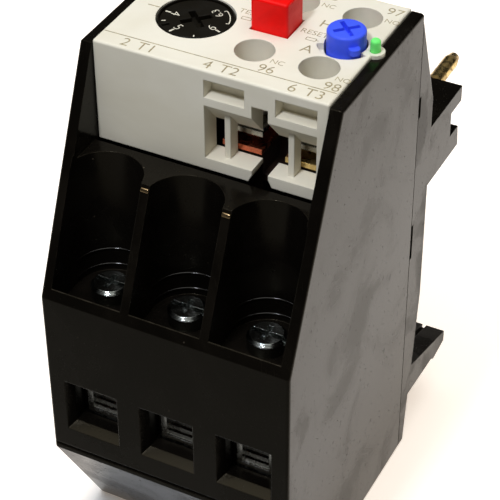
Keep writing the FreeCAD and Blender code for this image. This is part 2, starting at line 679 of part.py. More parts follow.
def indicator_boss():
    """Rounded boss at the right edge that guides the trip indicator."""
    x, y = FLAG
    return fuse([upright(x, y, BOSS_FOOT_Z, COVER_TOP_Z, BOSS_R),
                 box(x - BOSS_R - BITE, x, y - BOSS_R, y + BOSS_R,
                     BOSS_FOOT_Z, COVER_TOP_Z - BITE)])


# ---------------------------------------------------------------- conductors of a pole
def contact_pin(pole):
    """Turned pin that plugs into the contactor, riveted to its busbar."""
    step = BRACKET_SLOT_Y
    taper_y = PIN_TIP_Y - PIN_TAPER
    root_y = BUSBAR_Y + BAR_THICK
    outline = [(0, BUSBAR_Y), (PIN_R, BUSBAR_Y), (PIN_R, root_y), (PIN_ROOT_R, root_y),
               (PIN_ROOT_R, step), (PIN_R, step), (PIN_R, taper_y), (PIN_TIP_R, PIN_TIP_Y),
               (0, PIN_TIP_Y)]
    corners = [V(r, y, 0) for r, y in outline]
    face = Part.Face(Part.makePolygon(corners + corners[:1]))
    pin = face.revolve(V(0, 0, 0), V(0, 1, 0), 360)
    pin.translate(V(pole_x(pole), 0, PIN_Z))
    return pin


def busbar(pole):
    """Angle that hangs from the pin and reaches forward to the heater's upper end."""
    x = pole_x(pole)
    tab_z = HEATER_TOP_Z
    reach = STRIP_Y + STRIP_WIDTH / 2 + HEATER_ROOM + RIBBON
    top = PIN_Z + PIN_R + BUSBAR_TAB
    outline = [(BUSBAR_Y, tab_z + BAR_THICK), (reach, tab_z + BAR_THICK), (reach, tab_z),
               (BUSBAR_Y + BAR_THICK, tab_z), (BUSBAR_Y + BAR_THICK, top), (BUSBAR_Y, top)]
    angle = prism_x(outline, x - BAR_WIDTH / 2, x + BAR_WIDTH / 2)
    return angle.cut(along_y(x, PIN_Z, 0, FAR, PIN_R))


def bimetal_strip(pole):
    """Upright strip on a foot, with a notched tip between the slide fingers."""
    x = pole_x(pole)
    y0, y1 = STRIP_Y - STRIP_WIDTH / 2, STRIP_Y + STRIP_WIDTH / 2
    foot_top = FOOT_Z + BAR_THICK
    strip = box(x - STRIP_THICK / 2, x + STRIP_THICK / 2, y0, y1, foot_top, STRIP_TOP_Z)
    foot = box(x - BAR_WIDTH / 2, x + STRIP_THICK / 2, y0, y1, foot_top, foot_top + STRIP_THICK)
    return fuse([strip, foot])


def heater_winding(pole):
    """Flat ribbon wound round the strip in square turns, each rising by one pitch."""
    x = pole_x(pole)
    hx = STRIP_THICK / 2 + HEATER_ROOM
    hy = STRIP_WIDTH / 2 + HEATER_ROOM
    tall = 2 * RIBBON
    bars = []
    for turn in range(HEATER_TURNS):
        z = HEATER_LOW_Z + turn * HEATER_PITCH
        rise = z + HEATER_PITCH
        bars.append(box(x - hx - RIBBON, x + hx + RIBBON, STRIP_Y - hy - RIBBON, STRIP_Y - hy,
                        z, z + tall))
        bars.append(box(x + hx, x + hx + RIBBON, STRIP_Y - hy - RIBBON, STRIP_Y + hy + RIBBON,
                        z, z + tall))
        bars.append(box(x - hx - RIBBON, x + hx + RIBBON, STRIP_Y + hy, STRIP_Y + hy + RIBBON,
                        z, z + tall))
        slope = [(STRIP_Y + hy + RIBBON, z), (STRIP_Y + hy + RIBBON, z + tall),
                 (STRIP_Y - hy - RIBBON, rise + tall), (STRIP_Y - hy - RIBBON, rise)]
        bars.append(prism_x(slope, x - hx - RIBBON, x - hx))
    lead_z = HEATER_TOP_Z
    bars.append(box(x - hx - RIBBON, x + hx + RIBBON, STRIP_Y - hy - RIBBON, STRIP_Y - hy,
                    lead_z, lead_z + tall))
    bars.append(box(x + hx, x + hx + RIBBON, STRIP_Y - hy - RIBBON, STRIP_Y + hy + RIBBON,
                    lead_z, lead_z + tall))
    bars.append(box(x + hx, x + hx + RIBBON, STRIP_Y - hy - RIBBON, STRIP_Y - hy,
                    FOOT_Z + BAR_THICK, HEATER_LOW_Z + tall))
    return fuse(bars)


def terminal_bar(pole):
    """Bent bar from the foot of the strip to the clamp."""
    x = pole_x(pole)
    riser_y = CAVITY_Y + BAR_ROOM
    front = WELL_Y - CAGE_DEPTH / 2 + 1
    back = STRIP_Y + STRIP_WIDTH / 2
    t = BAR_THICK
    outline = [(front, BAR_Z + t), (front, BAR_Z), (riser_y, BAR_Z), (riser_y, FOOT_Z),
               (back, FOOT_Z), (back, FOOT_Z + t), (riser_y + t, FOOT_Z + t),
               (riser_y + t, BAR_Z + t)]
    return prism_x(outline, x - BAR_WIDTH / 2, x + BAR_WIDTH / 2)


# ---------------------------------------------------------------- main terminals
def clamp_cage(pole):
    """Box clamp that the screw lifts against the bar, with a serrated floor."""
    x = pole_x(pole)
    half, deep = CAGE_WIDTH / 2, CAGE_DEPTH / 2
    top = CAGE_HEAD_Z + CAGE_HEAD
    body = box(x - half, x + half, WELL_Y - deep, WELL_Y + deep, CAGE_FLOOR_Z, top)
    upright_edges = [e for e in body.Edges
                     if abs(e.Vertexes[0].Point.y - e.Vertexes[-1].Point.y) > 1]
    body = body.makeFillet(CAGE_WALL / 2, upright_edges)
    gap = box(x - half + CAGE_WALL, x + half - CAGE_WALL, WELL_Y - deep - 1, WELL_Y + deep + 1,
              CAGE_FLOOR_Z + CAGE_FLOOR, CAGE_HEAD_Z)
    tools = [gap, upright(x, WELL_Y, CAGE_HEAD_Z - 1, top + 1, SCREW_R + THREAD_FIT)]
    step = CAGE_DEPTH / SERRATIONS
    floor = CAGE_FLOOR_Z + CAGE_FLOOR
    for i in range(SERRATIONS):
        y = WELL_Y - deep + (i + 0.5) * step
        tools.append(prism_x([(y - SERRATION, floor + 0.01), (y + SERRATION, floor + 0.01),
                              (y, floor - SERRATION)], x - half + CAGE_WALL, x + half - CAGE_WALL))
    return cut(body, tools)


def slotted_screw(x, y, radius, head_r, head_z, head_height, foot_z, cross):
    """Cheese-head screw with a slot, or a cross of two, and a chamfered tip."""
    tip = radius * 0.3
    outline = [(0, foot_z), (radius - tip, foot_z), (radius, foot_z + tip), (radius, head_z),
               (head_r, head_z), (head_r, head_z + head_height * 0.8),
               (head_r - head_height * 0.2, head_z + head_height), (0, head_z + head_height)]
    corners = [V(r, 0, z) for r, z in outline]
    screw = Part.Face(Part.makePolygon(corners + corners[:1])).revolve(V(), V(0, 0, 1), 360)
    top = head_z + head_height
    slots = [box(-head_r, head_r, -SLOT_WIDTH / 2, SLOT_WIDTH / 2, top - SLOT_DEPTH, top + 1)]
    if cross:
        reach = head_r * 0.55
        slots.append(box(-SLOT_WIDTH / 2, SLOT_WIDTH / 2, -reach, reach, top - SLOT_DEPTH, top + 1))
    screw = cut(screw, slots)
    screw.translate(V(x, y, 0))
    return screw


def terminal_screw(pole):
    head_z = WELL_FLOOR_Z + THREAD_FIT
    return slotted_screw(pole_x(pole), WELL_Y, SCREW_R, SCREW_HEAD_R, head_z,
                         SCREW_HEAD_HEIGHT, SCREW_TIP_Z, True)


# ---------------------------------------------------------------- auxiliary terminals
def arm_place(name):
    """X of the arm's contact side, and the arm's Y range, for one auxiliary terminal."""
    x, y = AUX[name]
    inner = AUX_PLATE_DEPTH / 2
    y0, y1 = (y + inner - CONTACT_ARM_WIDTH, y + inner)
    if y > CARRIAGE_Y:
        y0, y1 = (y - inner, y - inner + CONTACT_ARM_WIDTH)
    aside = CONTACT_ASIDE if x == AUX_LEFT_X else CONTACT_ASIDE_RIGHT
    return x + aside, y0, y1


def aux_terminal(name):
    """Plate under the screw, with an arm that carries a fixed contact button."""
    x, y = AUX[name]
    front, back = y - AUX_PLATE_DEPTH / 2, y + AUX_PLATE_DEPTH / 2
    if y > CARRIAGE_Y:
        back += AUX_TONGUE
    else:
        front -= AUX_TONGUE
    plate = box(x - AUX_PLATE_WIDTH / 2, x + AUX_PLATE_WIDTH / 2, front, back,
                AUX_PLATE_Z, AUX_PLATE_TOP_Z)
    side, y0, y1 = arm_place(name)
    arm = box(side - CONTACT_ARM, side, y0, y1, CONTACT_FOOT_Z, AUX_PLATE_TOP_Z)
    body = fuse([plate, arm])
    return cut(body, [upright(x, y, 0, FAR, AUX_SCREW_R + THREAD_FIT)])


def aux_saddle(name):
    """Clamping plate with a rolled front edge, carried by the screw."""
    x, y = AUX[name]
    half = AUX_SADDLE_WIDTH / 2
    plate = box(x - half, x + half, y - half, y + half, AUX_SADDLE_Z, AUX_SADDLE_Z + AUX_SADDLE)
    lips = [box(x - half, x + half, y + s * half - AUX_LIP / 2, y + s * half + AUX_LIP / 2,
                AUX_SADDLE_Z - AUX_LIP, AUX_SADDLE_Z + AUX_SADDLE / 2) for s in (-1, 1)]
    return cut(fuse([plate] + lips), [upright(x, y, 0, FAR, AUX_SCREW_R + THREAD_FIT)])


def aux_screw(name):
    x, y = AUX[name]
    return slotted_screw(x, y, AUX_SCREW_R, AUX_HEAD_R, AUX_HEAD_Z, AUX_HEAD_HEIGHT,
                         AUX_SCREW_FOOT_Z, True)


# ---------------------------------------------------------------- release mechanism
def carrier_frame():
    """Lower deck on the housing's ledges, pillars under the terminals, upper deck, ears."""
    lower = box(-INSIDE + COVER_ROOM, INSIDE - COVER_ROOM, CAVITY_Y + COVER_ROOM, SEAM_Y,
                DECK_Z, DECK_Z + DECK)
    corridor = CARRIAGE_Y - BLADE_LENGTH / 2 - PILLAR_ROOM
    front_edge = FACE_BACK_Y + PILLAR_ROOM
    solids = [lower]
    for x, y in AUX.values():
        back_row = y > CARRIAGE_Y
        y0 = CARRIAGE_Y + BLADE_LENGTH / 2 + PILLAR_ROOM if back_row else front_edge
        y1 = COVER_BACK_Y - COVER_SHELL - PILLAR_ROOM if back_row else corridor
        solids.append(box(x - AUX_PLATE_WIDTH / 2, x + AUX_PLATE_WIDTH / 2, y0, y1,
                          DECK_Z + DECK / 2, AUX_PLATE_Z - COVER_ROOM))
    left = TEST[0] - TEST_WIDTH / 2 - 2 * PILLAR_ROOM
    right = COVER_HALF - COVER_SHELL - PILLAR_ROOM
    solids.append(box(left, right, front_edge, COVER_BACK_Y - COVER_SHELL - PILLAR_ROOM,
                      UPPER_DECK_Z, UPPER_DECK_TOP_Z))
    for y0 in (FRONT_EAR_Y, REAR_EAR_Y):
        solids.append(box(COMP_X - EAR_HALF, TRIP_PIN_X + EAR_HALF, y0, y0 + EAR,
                          DECK_Z + DECK / 2, COMP_PIVOT_Z + EAR_TOP))
    window = box(LEVER_X - LEVER_WINDOW, LEVER_X + LEVER_WINDOW_RIGHT, LEVER_Y - 4 * TOUCH,
                 LEVER_Y + LEVER + 4 * TOUCH, DECK_Z - 1, DECK_Z + DECK + 1)
    tools = [window]
    for name, (x, y) in AUX.items():
        tools.append(upright(x, y, AUX_SCREW_FOOT_Z - 2, FAR, AUX_SCREW_R + THREAD_FIT))
        side, y0, y1 = arm_place(name)
        tools.append(box(side - CONTACT_ARM - ARM_ROOM, side + ARM_ROOM, y0 - ARM_ROOM,
                         y1 + ARM_ROOM, DECK_Z + DECK, AUX_PLATE_Z))
    for x, y in (TEST, RESET):
        tools.append(upright(x, y, UPPER_DECK_Z - 1, FAR, STEM_R + STEM_FIT))
    for x, z in ((COMP_X, COMP_PIVOT_Z), (TRIP_PIN_X, TRIP_PIVOT_Z)):
        tools.append(along_y(x, z, FRONT_EAR_Y - 1, REAR_EAR_Y + EAR + 1, PIVOT_R))
    return cut(fuse(solids), tools)


def slide_bar(y0, finger_side, gap):
    """Bar across the poles with one finger beside each strip."""
    left = pole_x(-1) - STRIP_THICK / 2 - RETURN_GAP - FINGER
    bar = box(left, HALF - SLIDE_END_IN, y0, y0 + SLIDE_WIDTH, SLIDE_Z, SLIDE_Z + SLIDE_HEIGHT)
    solids = [bar]
    inner = STRIP_THICK / 2 + gap
    for pole in POLES:
        x0, x1 = sorted((pole_x(pole) + finger_side * inner,
                         pole_x(pole) + finger_side * (inner + FINGER)))
        solids.append(box(x0, x1, y0, y0 + SLIDE_WIDTH, SLIDE_Z - FINGER_DROP, SLIDE_Z + BITE))
    return solids


def trip_slide():
    bar = fuse(slide_bar(FRONT_SLIDE_Y, 1, FINGER_GAP))
    blind = FRONT_SLIDE_Y + STUD_LENGTH + TOUCH
    return cut(bar, [along_y(LEVER_X, SLIDE_AXIS_Z, LEVER_Y, blind, STUD_R + PIVOT_FIT)])


def return_slide():
    """Rear bar, with a peg that runs under the front bar into the lever's slot."""
    peg = along_y(LEVER_X, PEG_Z, LEVER_Y, REAR_SLIDE_Y + SLIDE_WIDTH / 2, PEG_R)
    root = box(LEVER_X - PEG_ROOT, LEVER_X + PEG_ROOT, REAR_SLIDE_Y + BITE,
               REAR_SLIDE_Y + SLIDE_WIDTH, PEG_Z - PEG_ROOT, SLIDE_Z + BITE)
    return fuse(slide_bar(REAR_SLIDE_Y, -1, RETURN_GAP) + [peg, root])


def differential_lever():
    """Upright lever: a stud into the front slide, a slot for the rear slide's peg."""
    back = LEVER_Y + LEVER
    arm = box(LEVER_X - LEVER_WIDTH / 2, LEVER_X + LEVER_WIDTH / 2, LEVER_Y, back,
              SLIDE_AXIS_Z, LEVER_TOP_Z)
    slot_half, slot_rise = PEG_R + PEG_ROOM, PEG_R + PEG_ROOM_Z
    foot_half = slot_half + LEVER_FOOT
    foot = box(LEVER_X - foot_half, LEVER_X + foot_half, LEVER_Y, back,
               PEG_Z - 2 * slot_rise, SLIDE_AXIS_Z + slot_rise)
    stud = along_y(LEVER_X, SLIDE_AXIS_Z, LEVER_Y, FRONT_SLIDE_Y + STUD_LENGTH, STUD_R)
    slot = box(LEVER_X - slot_half, LEVER_X + slot_half, LEVER_Y - 1, back + 1,
               PEG_Z - slot_rise, PEG_Z + slot_rise)
    return fuse([cut(fuse([arm, foot]), [slot]), stud])


def compensation_strip():
    """Temperature-compensating strip that passes the slides' push to the trip lever."""
    back = LEVER_Y + COMP_WIDTH
    strip = box(COMP_X - COMP_THICK / 2, COMP_X + COMP_THICK / 2, LEVER_Y, back,
                COMP_FOOT_Z, COMP_PIVOT_Z + COMP_TAIL)
    hub = along_y(COMP_X, COMP_PIVOT_Z, LEVER_Y, back, PIVOT_R + HUB_WALL)
    return cut(fuse([strip, hub]), [along_y(COMP_X, COMP_PIVOT_Z, -FAR, FAR, PIVOT_R + PIVOT_FIT)])


def trip_lever():
    """Wide lever that turns the strip's push into travel of the contact carriage."""
    y0 = LEVER_Y + LEVER + TOUCH
    y1 = CARRIAGE_Y + CARRIAGE_WIDTH / 2
    arm = box(TRIP_X - TRIP_THICK / 2, TRIP_X + TRIP_THICK / 2, y0, y1,
              TRIP_FOOT_Z, TRIP_PIVOT_Z)
    hub = along_y(TRIP_PIN_X, TRIP_PIVOT_Z, y0 + COMP_WIDTH, y1, PIVOT_R + HUB_WALL)
    bore = along_y(TRIP_PIN_X, TRIP_PIVOT_Z, -FAR, FAR, PIVOT_R + PIVOT_FIT)
    relief = box(COMP_X, TRIP_PIN_X, y0 - 1, y0 + COMP_WIDTH + TOUCH,
                 TRIP_FOOT_Z + TRIP_RELIEF, FAR)
    return cut(fuse([arm, hub]), [bore, relief])


def pivot_pin(x, z):
    return along_y(x, z, FRONT_EAR_Y, REAR_EAR_Y + EAR, PIVOT_R)


def blade_x(name):
    """Rest place of a bridge: the closing one stands one travel away from its contacts."""
    side = arm_place(name)[0]
    if name == "95":
        return side + TOUCH
    return side - CONTACT_ARM - CARRIAGE_TRAVEL - TOUCH - BLADE


def contact_carriage():
    bar = box(CARRIAGE_X, blade_x("97") + BLADE + CARRIAGE_END, CARRIAGE_Y - CARRIAGE_WIDTH / 2,
              CARRIAGE_Y + CARRIAGE_WIDTH / 2, CARRIAGE_Z, CARRIAGE_TOP_Z)
    slots = [box(blade_x(n) - BLADE_FIT, blade_x(n) + BLADE + BLADE_FIT, -FAR, FAR,
                 CARRIAGE_Z + CARRIAGE_FLOOR, FAR) for n in ("95", "97")]
    return cut(bar, slots)


def bridge(name):
    """Moving contact blade that spans the two fixed arms of its column."""
    x = blade_x(name)
    return box(x, x + BLADE, CARRIAGE_Y - BLADE_LENGTH / 2, CARRIAGE_Y + BLADE_LENGTH / 2,
               CARRIAGE_Z + CARRIAGE_FLOOR, CARRIAGE_TOP_Z)


# ---------------------------------------------------------------- operating elements
def setting_dial():
    """Round dial with a cross slot, a pointer notch and a shaft down to the cam."""
    x, y = DIAL
    disc = upright(0, 0, DIAL_TOP_Z - DIAL_THICK, DIAL_TOP_Z, DIAL_R)
    rim = [e for e in disc.Edges if abs(e.BoundBox.ZMin - DIAL_TOP_Z) < 1e-6]
    disc = disc.makeChamfer(DIAL_CHAMFER, rim)
    shaft = upright(0, 0, CAM_Z + CAM, DIAL_TOP_Z - DIAL_THICK / 2, DIAL_SHAFT_R)
    dial = fuse([disc, shaft])
    reach = DIAL_SLOT_REACH
    depth = DIAL_TOP_Z - DIAL_SLOT_DEPTH
    notch_y, notch_z = DIAL_R - DIAL_NOTCH_LENGTH, DIAL_TOP_Z - DIAL_NOTCH_DEPTH
    slots = [box(-reach, reach, -DIAL_SLOT / 2, DIAL_SLOT / 2, depth, FAR),
             box(-DIAL_SLOT / 2, DIAL_SLOT / 2, -reach, reach, depth, FAR),
             box(-DIAL_NOTCH / 2, DIAL_NOTCH / 2, notch_y, FAR, notch_z, FAR)]
    dial = cut(dial, slots)
    dial.rotate(V(), V(0, 0, 1), DIAL_DEG)
    dial.translate(V(x, y, 0))
    return dial


def setting_cam():
    """Eccentric disc under the dial."""
    x, y = DIAL
    return upright(x + CAM_OFFSET, y, CAM_Z, CAM_Z + CAM, CAM_R)


def test_button():
    """Square red cap on a guided stem."""
    x, y = TEST
    cap = box(x - TEST_WIDTH / 2, x + TEST_WIDTH / 2, y - TEST_DEPTH / 2, y + TEST_DEPTH / 2,
              TEST_FOOT_Z, TEST_TOP_Z)
    rounded = [e for e in cap.Edges if e.BoundBox.ZMax > TEST_TOP_Z - 1e-6]
    cap = cap.makeFillet(TEST_ROUND, rounded)
    foot = CARRIAGE_TOP_Z + 2 * TOUCH + TEST_TRAVEL
    stem = upright(x, y, foot, TEST_FOOT_Z + BITE, STEM_R)
    return fuse([cap, stem])


def reset_plunger():
    """Guided stem with a flange for the spring and a spigot for the knob."""
    x, y = RESET
    foot = CARRIAGE_TOP_Z + 2 * TOUCH + RESET_TRAVEL
    stem = upright(x, y, foot, KNOB_TOP_Z - KNOB_CAP - SPIGOT_GAP, STEM_R)
    flange = upright(x, y, FLANGE_Z, FLANGE_Z + FLANGE, FLANGE_R)
    return fuse([stem, flange])


def reset_knob():
    """Blue knob with a cross slot and a pointer that shows hand or automatic reset."""
    x, y = RESET
    body = upright(0, 0, KNOB_FOOT_Z, KNOB_TOP_Z, KNOB_R)
    rim = [e for e in body.Edges if abs(e.BoundBox.ZMin - KNOB_TOP_Z) < 1e-6]
    body = body.makeFillet(KNOB_ROUND, rim)
    pointer = box(0, POINTER_REACH, -POINTER_WIDTH / 2, POINTER_WIDTH / 2,
                  POINTER_FOOT_Z, POINTER_FOOT_Z + POINTER_HEIGHT)
    nose = [e for e in pointer.Edges if all(abs(v.Point.x - POINTER_REACH) < 1e-6 for v in e.Vertexes)
            and abs(e.Vertexes[0].Point.z - e.Vertexes[-1].Point.z) > 0.1]
    pointer = pointer.makeFillet(POINTER_WIDTH * 0.45, nose)
    knob = fuse([body, pointer])
    reach = KNOB_R * 0.7
    depth = KNOB_TOP_Z - KNOB_SLOT_DEPTH
    slots = [box(-reach, reach, -KNOB_SLOT / 2, KNOB_SLOT / 2, depth, FAR),
             box(-KNOB_SLOT / 2, KNOB_SLOT / 2, -reach, reach, depth, FAR),
             upright(0, 0, 0, KNOB_TOP_Z - KNOB_CAP, STEM_R + PIVOT_FIT)]
    knob = cut(knob, slots)
    knob.rotate(V(), V(0, 0, 1), POINTER_DEG)
    knob.translate(V(x, y, 0))
    return knob


def trip_indicator():
    """Green flag pin with a rounded top, guided in the cover's boss."""
    x, y = FLAG
    pin = upright(x, y, FLAG_FOOT_Z, FLAG_TOP_Z, FLAG_R)
    rim = [e for e in pin.Edges if abs(e.BoundBox.ZMin - FLAG_TOP_Z) < 1e-6]
    return pin.makeFillet(FLAG_R * 0.7, rim)


def coil_spring(place, z0, z1):
    """Helical compression spring standing on the upper deck."""
    height = z1 - z0 - 2 * SPRING_WIRE
    helix = Part.makeHelix(height / SPRING_TURNS, height, SPRING_R)
    start = helix.Vertexes[0].Point
    ring = Part.makePolygon([start + V(SPRING_WIRE * math.cos(a), 0, SPRING_WIRE * math.sin(a))
                             for a in [k * math.pi / 3 for k in range(7)]])
    spring = Part.Wire(helix).makePipeShell([ring], True, True)
    spring.translate(V(*place, z0 + SPRING_WIRE))
    return spring


# ---------------------------------------------------------------- assembly
def build():
    os.makedirs("parts", exist_ok=True)
    save("front_housing", front_housing())
    save("rear_cover", rear_cover())
    save("top_cover", top_cover())
    for number, pole in enumerate(POLES, 1):
        for piece in (contact_pin, busbar, bimetal_strip, heater_winding, terminal_bar,
                      clamp_cage, terminal_screw):
            save(f"{piece.__name__}_{number}", piece(pole))
    for name in AUX:
        for piece in (aux_terminal, aux_saddle, aux_screw):
            save(f"{piece.__name__}_{name}", piece(name))
    for piece in (carrier_frame, trip_slide, return_slide, differential_lever,
                  compensation_strip, trip_lever, contact_carriage, setting_dial, setting_cam,
                  test_button, reset_plunger, reset_knob, trip_indicator):
        save(piece.__name__, piece())
    save("compensation_pin", pivot_pin(COMP_X, COMP_PIVOT_Z))
    save("trip_pin", pivot_pin(TRIP_PIN_X, TRIP_PIVOT_Z))
    save("opening_bridge", bridge("95"))
    save("closing_bridge", bridge("97"))
    save("test_spring", coil_spring(TEST, UPPER_DECK_TOP_Z, TEST_FOOT_Z))
    save("reset_spring", coil_spring(RESET, UPPER_DECK_TOP_Z, FLANGE_Z))


build()
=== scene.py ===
"""Looks of a plug-on thermal overload relay, dressed over its packed model.

Everything is in metres in the model's own frame: +X runs across the poles, +Y towards the
contactor, +Z up to the operating face.
"""

import math

import bpy
from bpy.props import FloatProperty, FloatVectorProperty, PointerProperty
from mathutils import Matrix, Vector


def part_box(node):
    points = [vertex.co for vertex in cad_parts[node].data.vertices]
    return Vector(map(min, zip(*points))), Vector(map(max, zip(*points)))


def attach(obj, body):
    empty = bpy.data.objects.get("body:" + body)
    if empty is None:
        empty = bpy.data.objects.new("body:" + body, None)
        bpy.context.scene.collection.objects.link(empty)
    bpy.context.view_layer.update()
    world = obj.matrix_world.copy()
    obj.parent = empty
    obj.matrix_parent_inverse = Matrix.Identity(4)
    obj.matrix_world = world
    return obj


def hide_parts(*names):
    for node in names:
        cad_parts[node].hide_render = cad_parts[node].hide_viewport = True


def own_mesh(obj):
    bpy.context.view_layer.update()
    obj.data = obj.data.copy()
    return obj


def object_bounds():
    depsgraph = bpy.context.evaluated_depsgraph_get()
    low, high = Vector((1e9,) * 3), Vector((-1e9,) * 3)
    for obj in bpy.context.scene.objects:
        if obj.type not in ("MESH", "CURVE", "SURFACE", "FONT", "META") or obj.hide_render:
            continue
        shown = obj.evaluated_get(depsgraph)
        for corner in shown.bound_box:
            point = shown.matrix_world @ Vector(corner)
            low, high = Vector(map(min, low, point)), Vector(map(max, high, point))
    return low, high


bl_info = {
    "name": "Overload Relay Looks",
    "version": (1, 0, 0),
    "blender": (4, 5, 0),
    "location": "3D View > Sidebar > Relay",
    "description": "Finishes, marks, small fittings and studio of a thermal overload relay",
    "category": "Object",
}

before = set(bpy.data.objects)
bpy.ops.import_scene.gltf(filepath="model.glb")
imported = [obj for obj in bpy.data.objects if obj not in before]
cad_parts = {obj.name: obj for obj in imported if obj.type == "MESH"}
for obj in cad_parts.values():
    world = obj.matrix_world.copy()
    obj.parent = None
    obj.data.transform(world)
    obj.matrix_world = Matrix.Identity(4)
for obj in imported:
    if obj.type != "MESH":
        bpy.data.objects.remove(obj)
CAD_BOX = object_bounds()
MM = 0.001

COVER_LOW, COVER_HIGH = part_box("top_cover")
DIAL_LOW, DIAL_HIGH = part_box("setting_dial")
CASING_LOW, CASING_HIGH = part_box("front_housing")
POLES = (1, 2, 3)
OPENING_NUMBERS, CLOSING_NUMBERS = ("95", "96"), ("97", "98")
AUX_NUMBERS = OPENING_NUMBERS + CLOSING_NUMBERS

PARTITION = 1.9 * MM             # wall between two screw wells
SLOPE_FOOT = 69.1 * MM           # height where the sloping front starts
BEAD_RISES = (-1.7 * MM, 2.2 * MM)    # heights of a well's beads from the screw's top
RIVET_DROP = 1.2 * MM            # a rivet's place below the foot of the cover
RIVET_FIT = 0.1 * MM             # a rivet is this much narrower than its wall
RIVET_DEPTH, RIVET_HEIGHT, RIVET_ROUND = 0.9 * MM, 0.6 * MM, 0.2 * MM
SPRING_WIRE = 0.3 * MM           # radius of the springs' wire
SPRING_TURNS = 5
RIM_WALL, RIM_SUNK = 0.3 * MM, 0.3 * MM    # the dial's lip, and how far it sits in the dial
RIM_FIT, RIM_DROP = 0.02 * MM, 0.05 * MM   # its room inside the dial's edge and under the face


# ---------------------------------------------------------------- settings
class RelayPlasticSettings(bpy.types.PropertyGroup):
    """Colours and surface of the moulded pieces."""
    casing: FloatVectorProperty(
        name="Casing", description="Black thermoset of the housing and the rear cover",
        subtype="COLOR", size=4, min=0, max=1, default=(0.0030, 0.0024, 0.0018, 1))
    casing_dust: FloatVectorProperty(
        name="Casing dust", description="Tint of the haze and dust on the casing",
        subtype="COLOR", size=4, min=0, max=1, default=(0.075, 0.062, 0.045, 1))
    casing_sheen: FloatVectorProperty(
        name="Casing sheen", description="Warm tone of what the casing mirrors",
        subtype="COLOR", size=4, min=0, max=1, default=(1.0, 0.87, 0.60, 1))
    cover: FloatVectorProperty(
        name="Cover", description="Creamy white of the top cover",
        subtype="COLOR", size=4, min=0, max=1, default=(0.86, 0.82, 0.70, 1))
    # Darker tone of the cover, mixed in at random in clouds and along its edges and inner corners
    cover_shade: FloatVectorProperty(
        name="Cover shade", description="Aged tone in the cover's corners and holes",
        subtype="COLOR", size=4, min=0, max=1, default=(0.74, 0.69, 0.55, 1))
    casing_gloss: FloatProperty(
        name="Casing roughness", description="Roughness of the clean casing",
        subtype="FACTOR", min=0, max=1, default=0.17)
    cover_gloss: FloatProperty(
        name="Cover roughness", description="Roughness of the clean cover",
        subtype="FACTOR", min=0, max=1, default=0.42)
    edge_round: FloatProperty(
        name="Edge round", description="Radius that softens the moulded edges in the light",
        subtype="DISTANCE", min=0, max=0.002, default=0.00028)
    bead: FloatProperty(
        name="Well beads", description="Radius of the two beads round the foot of a screw well",
        subtype="DISTANCE", min=0, max=0.001, default=0.00022)


class RelayControlSettings(bpy.types.PropertyGroup):
    """Colours of the pieces that a hand works."""
    test: FloatVectorProperty(
        name="Test button", description="Red of the test button",
        subtype="COLOR", size=4, min=0, max=1, default=(1.0, 0.001, 0.0005, 1))
    reset: FloatVectorProperty(
        name="Reset knob", description="Blue of the reset knob and plunger",
        subtype="COLOR", size=4, min=0, max=1, default=(0.06, 0.12, 1.0, 1))
    indicator: FloatVectorProperty(
        name="Indicator", description="Green of the trip indicator",
        subtype="COLOR", size=4, min=0, max=1, default=(0.19, 1.0, 0.21, 1))
    dial: FloatVectorProperty(
        name="Dial", description="Brown-black of the setting dial",
        subtype="COLOR", size=4, min=0, max=1, default=(0.0055, 0.0042, 0.0020, 1))


class RelayMarkSettings(bpy.types.PropertyGroup):
    """Engraved numbers and lines."""
    ink: FloatVectorProperty(
        name="Engraving", description="Colour in the engraved lines of the cover",
        subtype="COLOR", size=4, min=0, max=1, default=(0.28, 0.235, 0.135, 1))
    paint: FloatVectorProperty(
        name="Dial paint", description="Paint of the dial's marks",
        subtype="COLOR", size=4, min=0, max=1, default=(0.80, 0.76, 0.62, 1))
    stroke: FloatProperty(
        name="Stroke", description="Width of an engraved line",
        subtype="DISTANCE", min=0, max=0.002, default=0.00022)
    tall: FloatProperty(
        name="Terminal numbers", description="Height of the terminal numbers",
        subtype="DISTANCE", min=0, max=0.01, default=0.0027)
    small: FloatProperty(
        name="Small letters", description="Height of the small letters",
        subtype="DISTANCE", min=0, max=0.01, default=0.00145)
    line_back: FloatProperty(
        name="Line setback", description="Distance of the engraved line from the cover's front",
        subtype="DISTANCE", min=0, max=0.02, default=0.0040)
    thickness: FloatProperty(
        name="Mark thickness", description="Thickness of a mark, half of it in the surface",
        subtype="DISTANCE", min=0, max=0.001, default=0.00004)


class RelayStageSettings(bpy.types.PropertyGroup):
    """Floor, lights and camera."""
    floor: FloatVectorProperty(
        name="Floor", description="Colour of the pale floor",
        subtype="COLOR", size=4, min=0, max=1, default=(0.93, 0.93, 0.93, 1))
    room: FloatProperty(
        name="Ceiling light", description="Strength of the light from overhead",
        min=0, max=10, default=2.1)
    shade: FloatProperty(
        name="Room shade", description="Strength of the light from the walls of the room",
        min=0, max=10, default=0.03)
    low: FloatProperty(
        name="Low light", description="Strength of the light from under the horizon",
        min=0, max=10, default=0.34)
    ceiling_edge: FloatProperty(
        name="Ceiling edge", description="Height over the horizon where the ceiling light starts",
        subtype="FACTOR", min=0, max=1, default=0.68)
    floor_glow: FloatVectorProperty(
        name="Floor glow", description="Warm light of its own that evens out the pale floor",
        subtype="COLOR", size=4, min=0, max=2, default=(0.66, 0.56, 0.47, 1))
    flash: FloatProperty(
        name="Front light", description="Power of the small lamp over the front",
        subtype="POWER", min=0, max=100, default=1.6)
    lens: FloatProperty(
        name="Lens", description="Focal length of the camera",
        subtype="DISTANCE_CAMERA", min=10, max=500, default=132.5)


# ---------------------------------------------------------------- node helpers
FLOAT, VECTOR = "NodeSocketFloat", "NodeSocketVector"
MIX_FACTOR, MIX_FIRST, MIX_SECOND, MIX_RESULT = 0, 6, 7, 2    # a Mix node's colour sockets


